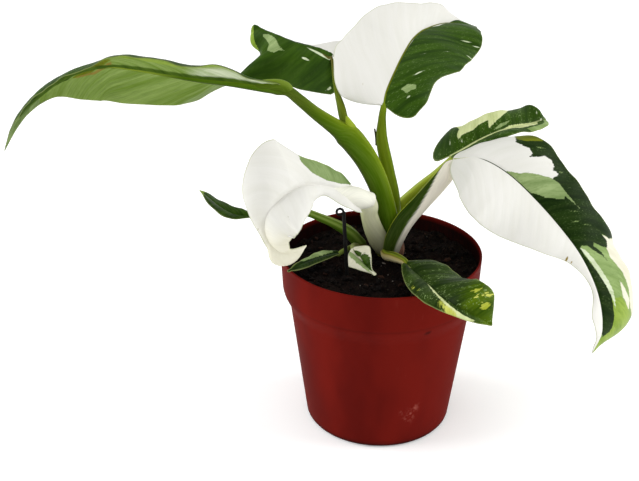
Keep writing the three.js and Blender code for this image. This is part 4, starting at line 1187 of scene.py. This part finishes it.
def crown_piece(name, stem, material):
    """A stem's crown in the soil, ringed by old leaf scars."""
    bottom, shoulder, top, radius = (stem[key] for key in ("bottom", "shoulder", "top", "radius"))
    heights = np.linspace(bottom, top, 60)
    knees = [bottom, bottom + 5, shoulder, shoulder + 3, top]
    radii = np.interp(heights, knees, [radius * 0.7, radius, radius, stem["crown"], radius * 0.8])
    scars = bell((heights - bottom) % SCARS["apart"] - SCARS["apart"] / 2, SCARS["width"])
    profile = [(0, bottom), *zip(radii - SCARS["depth"] * scars, heights), (0, top + 2)]
    mesh = lathe(f"{name}_crown", profile, 64)
    mesh.transform(Matrix.Translation((stem["x"] * MM, stem["y"] * MM, 0)))
    add_piece(mesh, name, "stalk", [material])


def spike_piece(material):
    """A thin dried leaf scale that stands beside a stalk."""
    rings, sides = SPIKE["rings"], SPIKE["sides"]
    t = np.linspace(0, 1, rings)
    middle = np.array(SPIKE["foot"]) + t[:, None] * (np.array(SPIKE["top"]) - SPIKE["foot"])
    middle[:, 0] += 0.3 * np.sin(np.pi * t)
    size = SPIKE["width"] / 2 * (1 - 0.4 * t**6)
    points = middle[:, None] + size[:, None, None] * circles(1.0, 0.0, sides) * (1, 0.6, 1)
    ends = [list(range(sides))[::-1], list(range((rings - 1) * sides, rings * sides))]
    mesh = new_mesh("dry_spike", points.reshape(-1, 3), ring_walls(rings, sides) + ends)
    add_piece(mesh, "main_shoot", "stalk", [material])


def pin_piece():
    """The wire pin: a rod with a rounded top and an eye bent from finer wire."""
    place = Matrix.Translation(Vector((PIN["x"], PIN["y"], SOIL["level"])) * MM)
    place = place @ Matrix.Rotation(-math.radians(PIN["lean"]), 4, "Y")
    bottom, top = PIN["bottom"] - SOIL["level"], PIN["top"] - SOIL["level"]
    r = PIN["radius"]
    shaft = [(r, z) for z in np.linspace(bottom + 1, top - 0.6, 30)]
    profile = [(0, bottom), (r * 0.8, bottom), (r, bottom + 0.4), *shaft, (r * 0.7, top - 0.1), (0, top)]
    rod = lathe("pin_rod", profile, 32)

    around, sides = 64, 20
    wire, offset = PIN_EYE["wire"], PIN_EYE["offset"]
    a = 2 * np.pi * np.arange(around)[:, None] / around
    b = 2 * np.pi * np.arange(sides)[None] / sides
    ring = PIN_EYE["radius"] + wire * np.cos(b)
    points = np.stack([ring * np.cos(a) - offset, wire * np.sin(b) + 0 * a, ring * np.sin(a) + top], -1)
    faces = np.array(ring_walls(around + 1, sides)) % (around * sides)
    eye = new_mesh("pin_eye", points.reshape(-1, 3), faces)
    metal = plain_material("pin_metal", PIN_TONES, (120.0, 1500.0), (0.32, 0.5), 0.0001, 0.3)
    for mesh in (rod, eye):
        mesh.transform(place)
        add_piece(mesh, "wire_pin", "pin_wire", [metal])


def husk_material():
    """A dry papery sheath with lengthwise streaks."""
    paint = Paint("husk_dry")
    streak = paint.noise(paint.stored("leaf_mm", "Vector"), (0.3, 2.4, 1.0), 0, 4)
    paint.colour = paint.tone(HUSK_TONES, paint.step(streak, 0.34, 0.66))
    return paint.finish(paint.step(streak, 0.3, 0.7, 0.6, 0.85), streak, 0.7, 0.0006)


def area_light(name, place, size, power):
    """A soft square lamp that faces the plant."""
    data = bpy.data.lights.new(name, "AREA")
    data.shape = "SQUARE"
    data.size = size
    data.energy = power
    lamp = add_object(name, data)
    lamp.location = place
    lamp.rotation_euler = (Vector(LIGHT["aim"]) - Vector(place)).to_track_quat("-Z", "Y").to_euler()


def studio():
    """A plain pale floor, a pale surround, soft lamps and the photograph's camera."""
    mesh = bpy.data.meshes.new("floor")
    half = 4.0
    corners = [(-half, -half, 0), (half, -half, 0), (half, half, 0), (-half, half, 0)]
    mesh.from_pydata(corners, [], [(0, 1, 2, 3)])
    floor = add_object("floor", mesh)
    paint = Paint("floor_paper")
    paint.colour = (*screen(FLOOR_TONE), 1.0)
    glow = {"Emission_Color": (1.0, 1.0, 1.0, 1.0), "Emission_Strength": LIGHT["floor"]}
    mesh.materials.append(paint.finish(0.9, Specular_IOR_Level=0.0, **glow))

    world = bpy.data.worlds.new("studio")
    world.use_nodes = True
    backdrop = world.node_tree.nodes["Background"]
    backdrop.inputs["Color"].default_value = (1.0, 1.0, 1.0, 1.0)
    backdrop.inputs["Strength"].default_value = LIGHT["surround"]
    bpy.context.scene.world = world
    for name, lamp in LIGHT["lamps"].items():
        area_light(name, *lamp)

    data = bpy.data.cameras.new("camera")
    data.lens = CAMERA["lens"]
    data.sensor_width = CAMERA["sensor"]
    camera = add_object("camera", data)
    camera.location = np.array(CAMERA["place"]) * MM
    camera.rotation_euler = (math.radians(90 - CAMERA["pitch"]), 0, 0)
    bpy.context.scene.camera = camera
    bpy.context.scene.view_settings.view_transform = "Standard"


rng = np.random.default_rng(SEED)
pot_piece()
soil_piece(rng)
for name, bits in BITS.items():
    bits_piece(name, rng, *bits)
skin = stalk_material()
crown_matter = plain_material("crown_skin", CROWN_TONES, (60.0, 500.0), (0.5, 0.7), 0.0004)
for name, stem in STEMS.items():
    crown_piece(f"{name}_shoot", stem, crown_matter)
for shoot in STEMS:
    for name, leaf in LEAVES.items():
        if leaf["shoot"] == shoot:
            stalk_piece(name, leaf, skin)
for seed, (name, leaf) in enumerate(LEAVES.items()):
    leaf_piece(name, leaf, LOOKS[name], seed + 1.0)
for name, swelling in SWELLINGS.items():
    add_piece(tube_mesh(name, swelling, swelling["looks"]), "main_shoot", "stalk", [skin])
# The rib takes leaf_1's stalk bands, with their painted light and shade.
rib_piece("leaf_1", LEAVES["leaf_1"], {**STALK_LOOKS["leaf_1"], "end": (120, 140, 40)}, skin)
spike_piece(plain_material("spike_skin", SPIKE_TONES, (90.0, 700.0), (0.6, 0.8), 0.0003))
leaf_piece("husk", HUSK, None, 20.0, [husk_material()])
pin_piece()
studio()
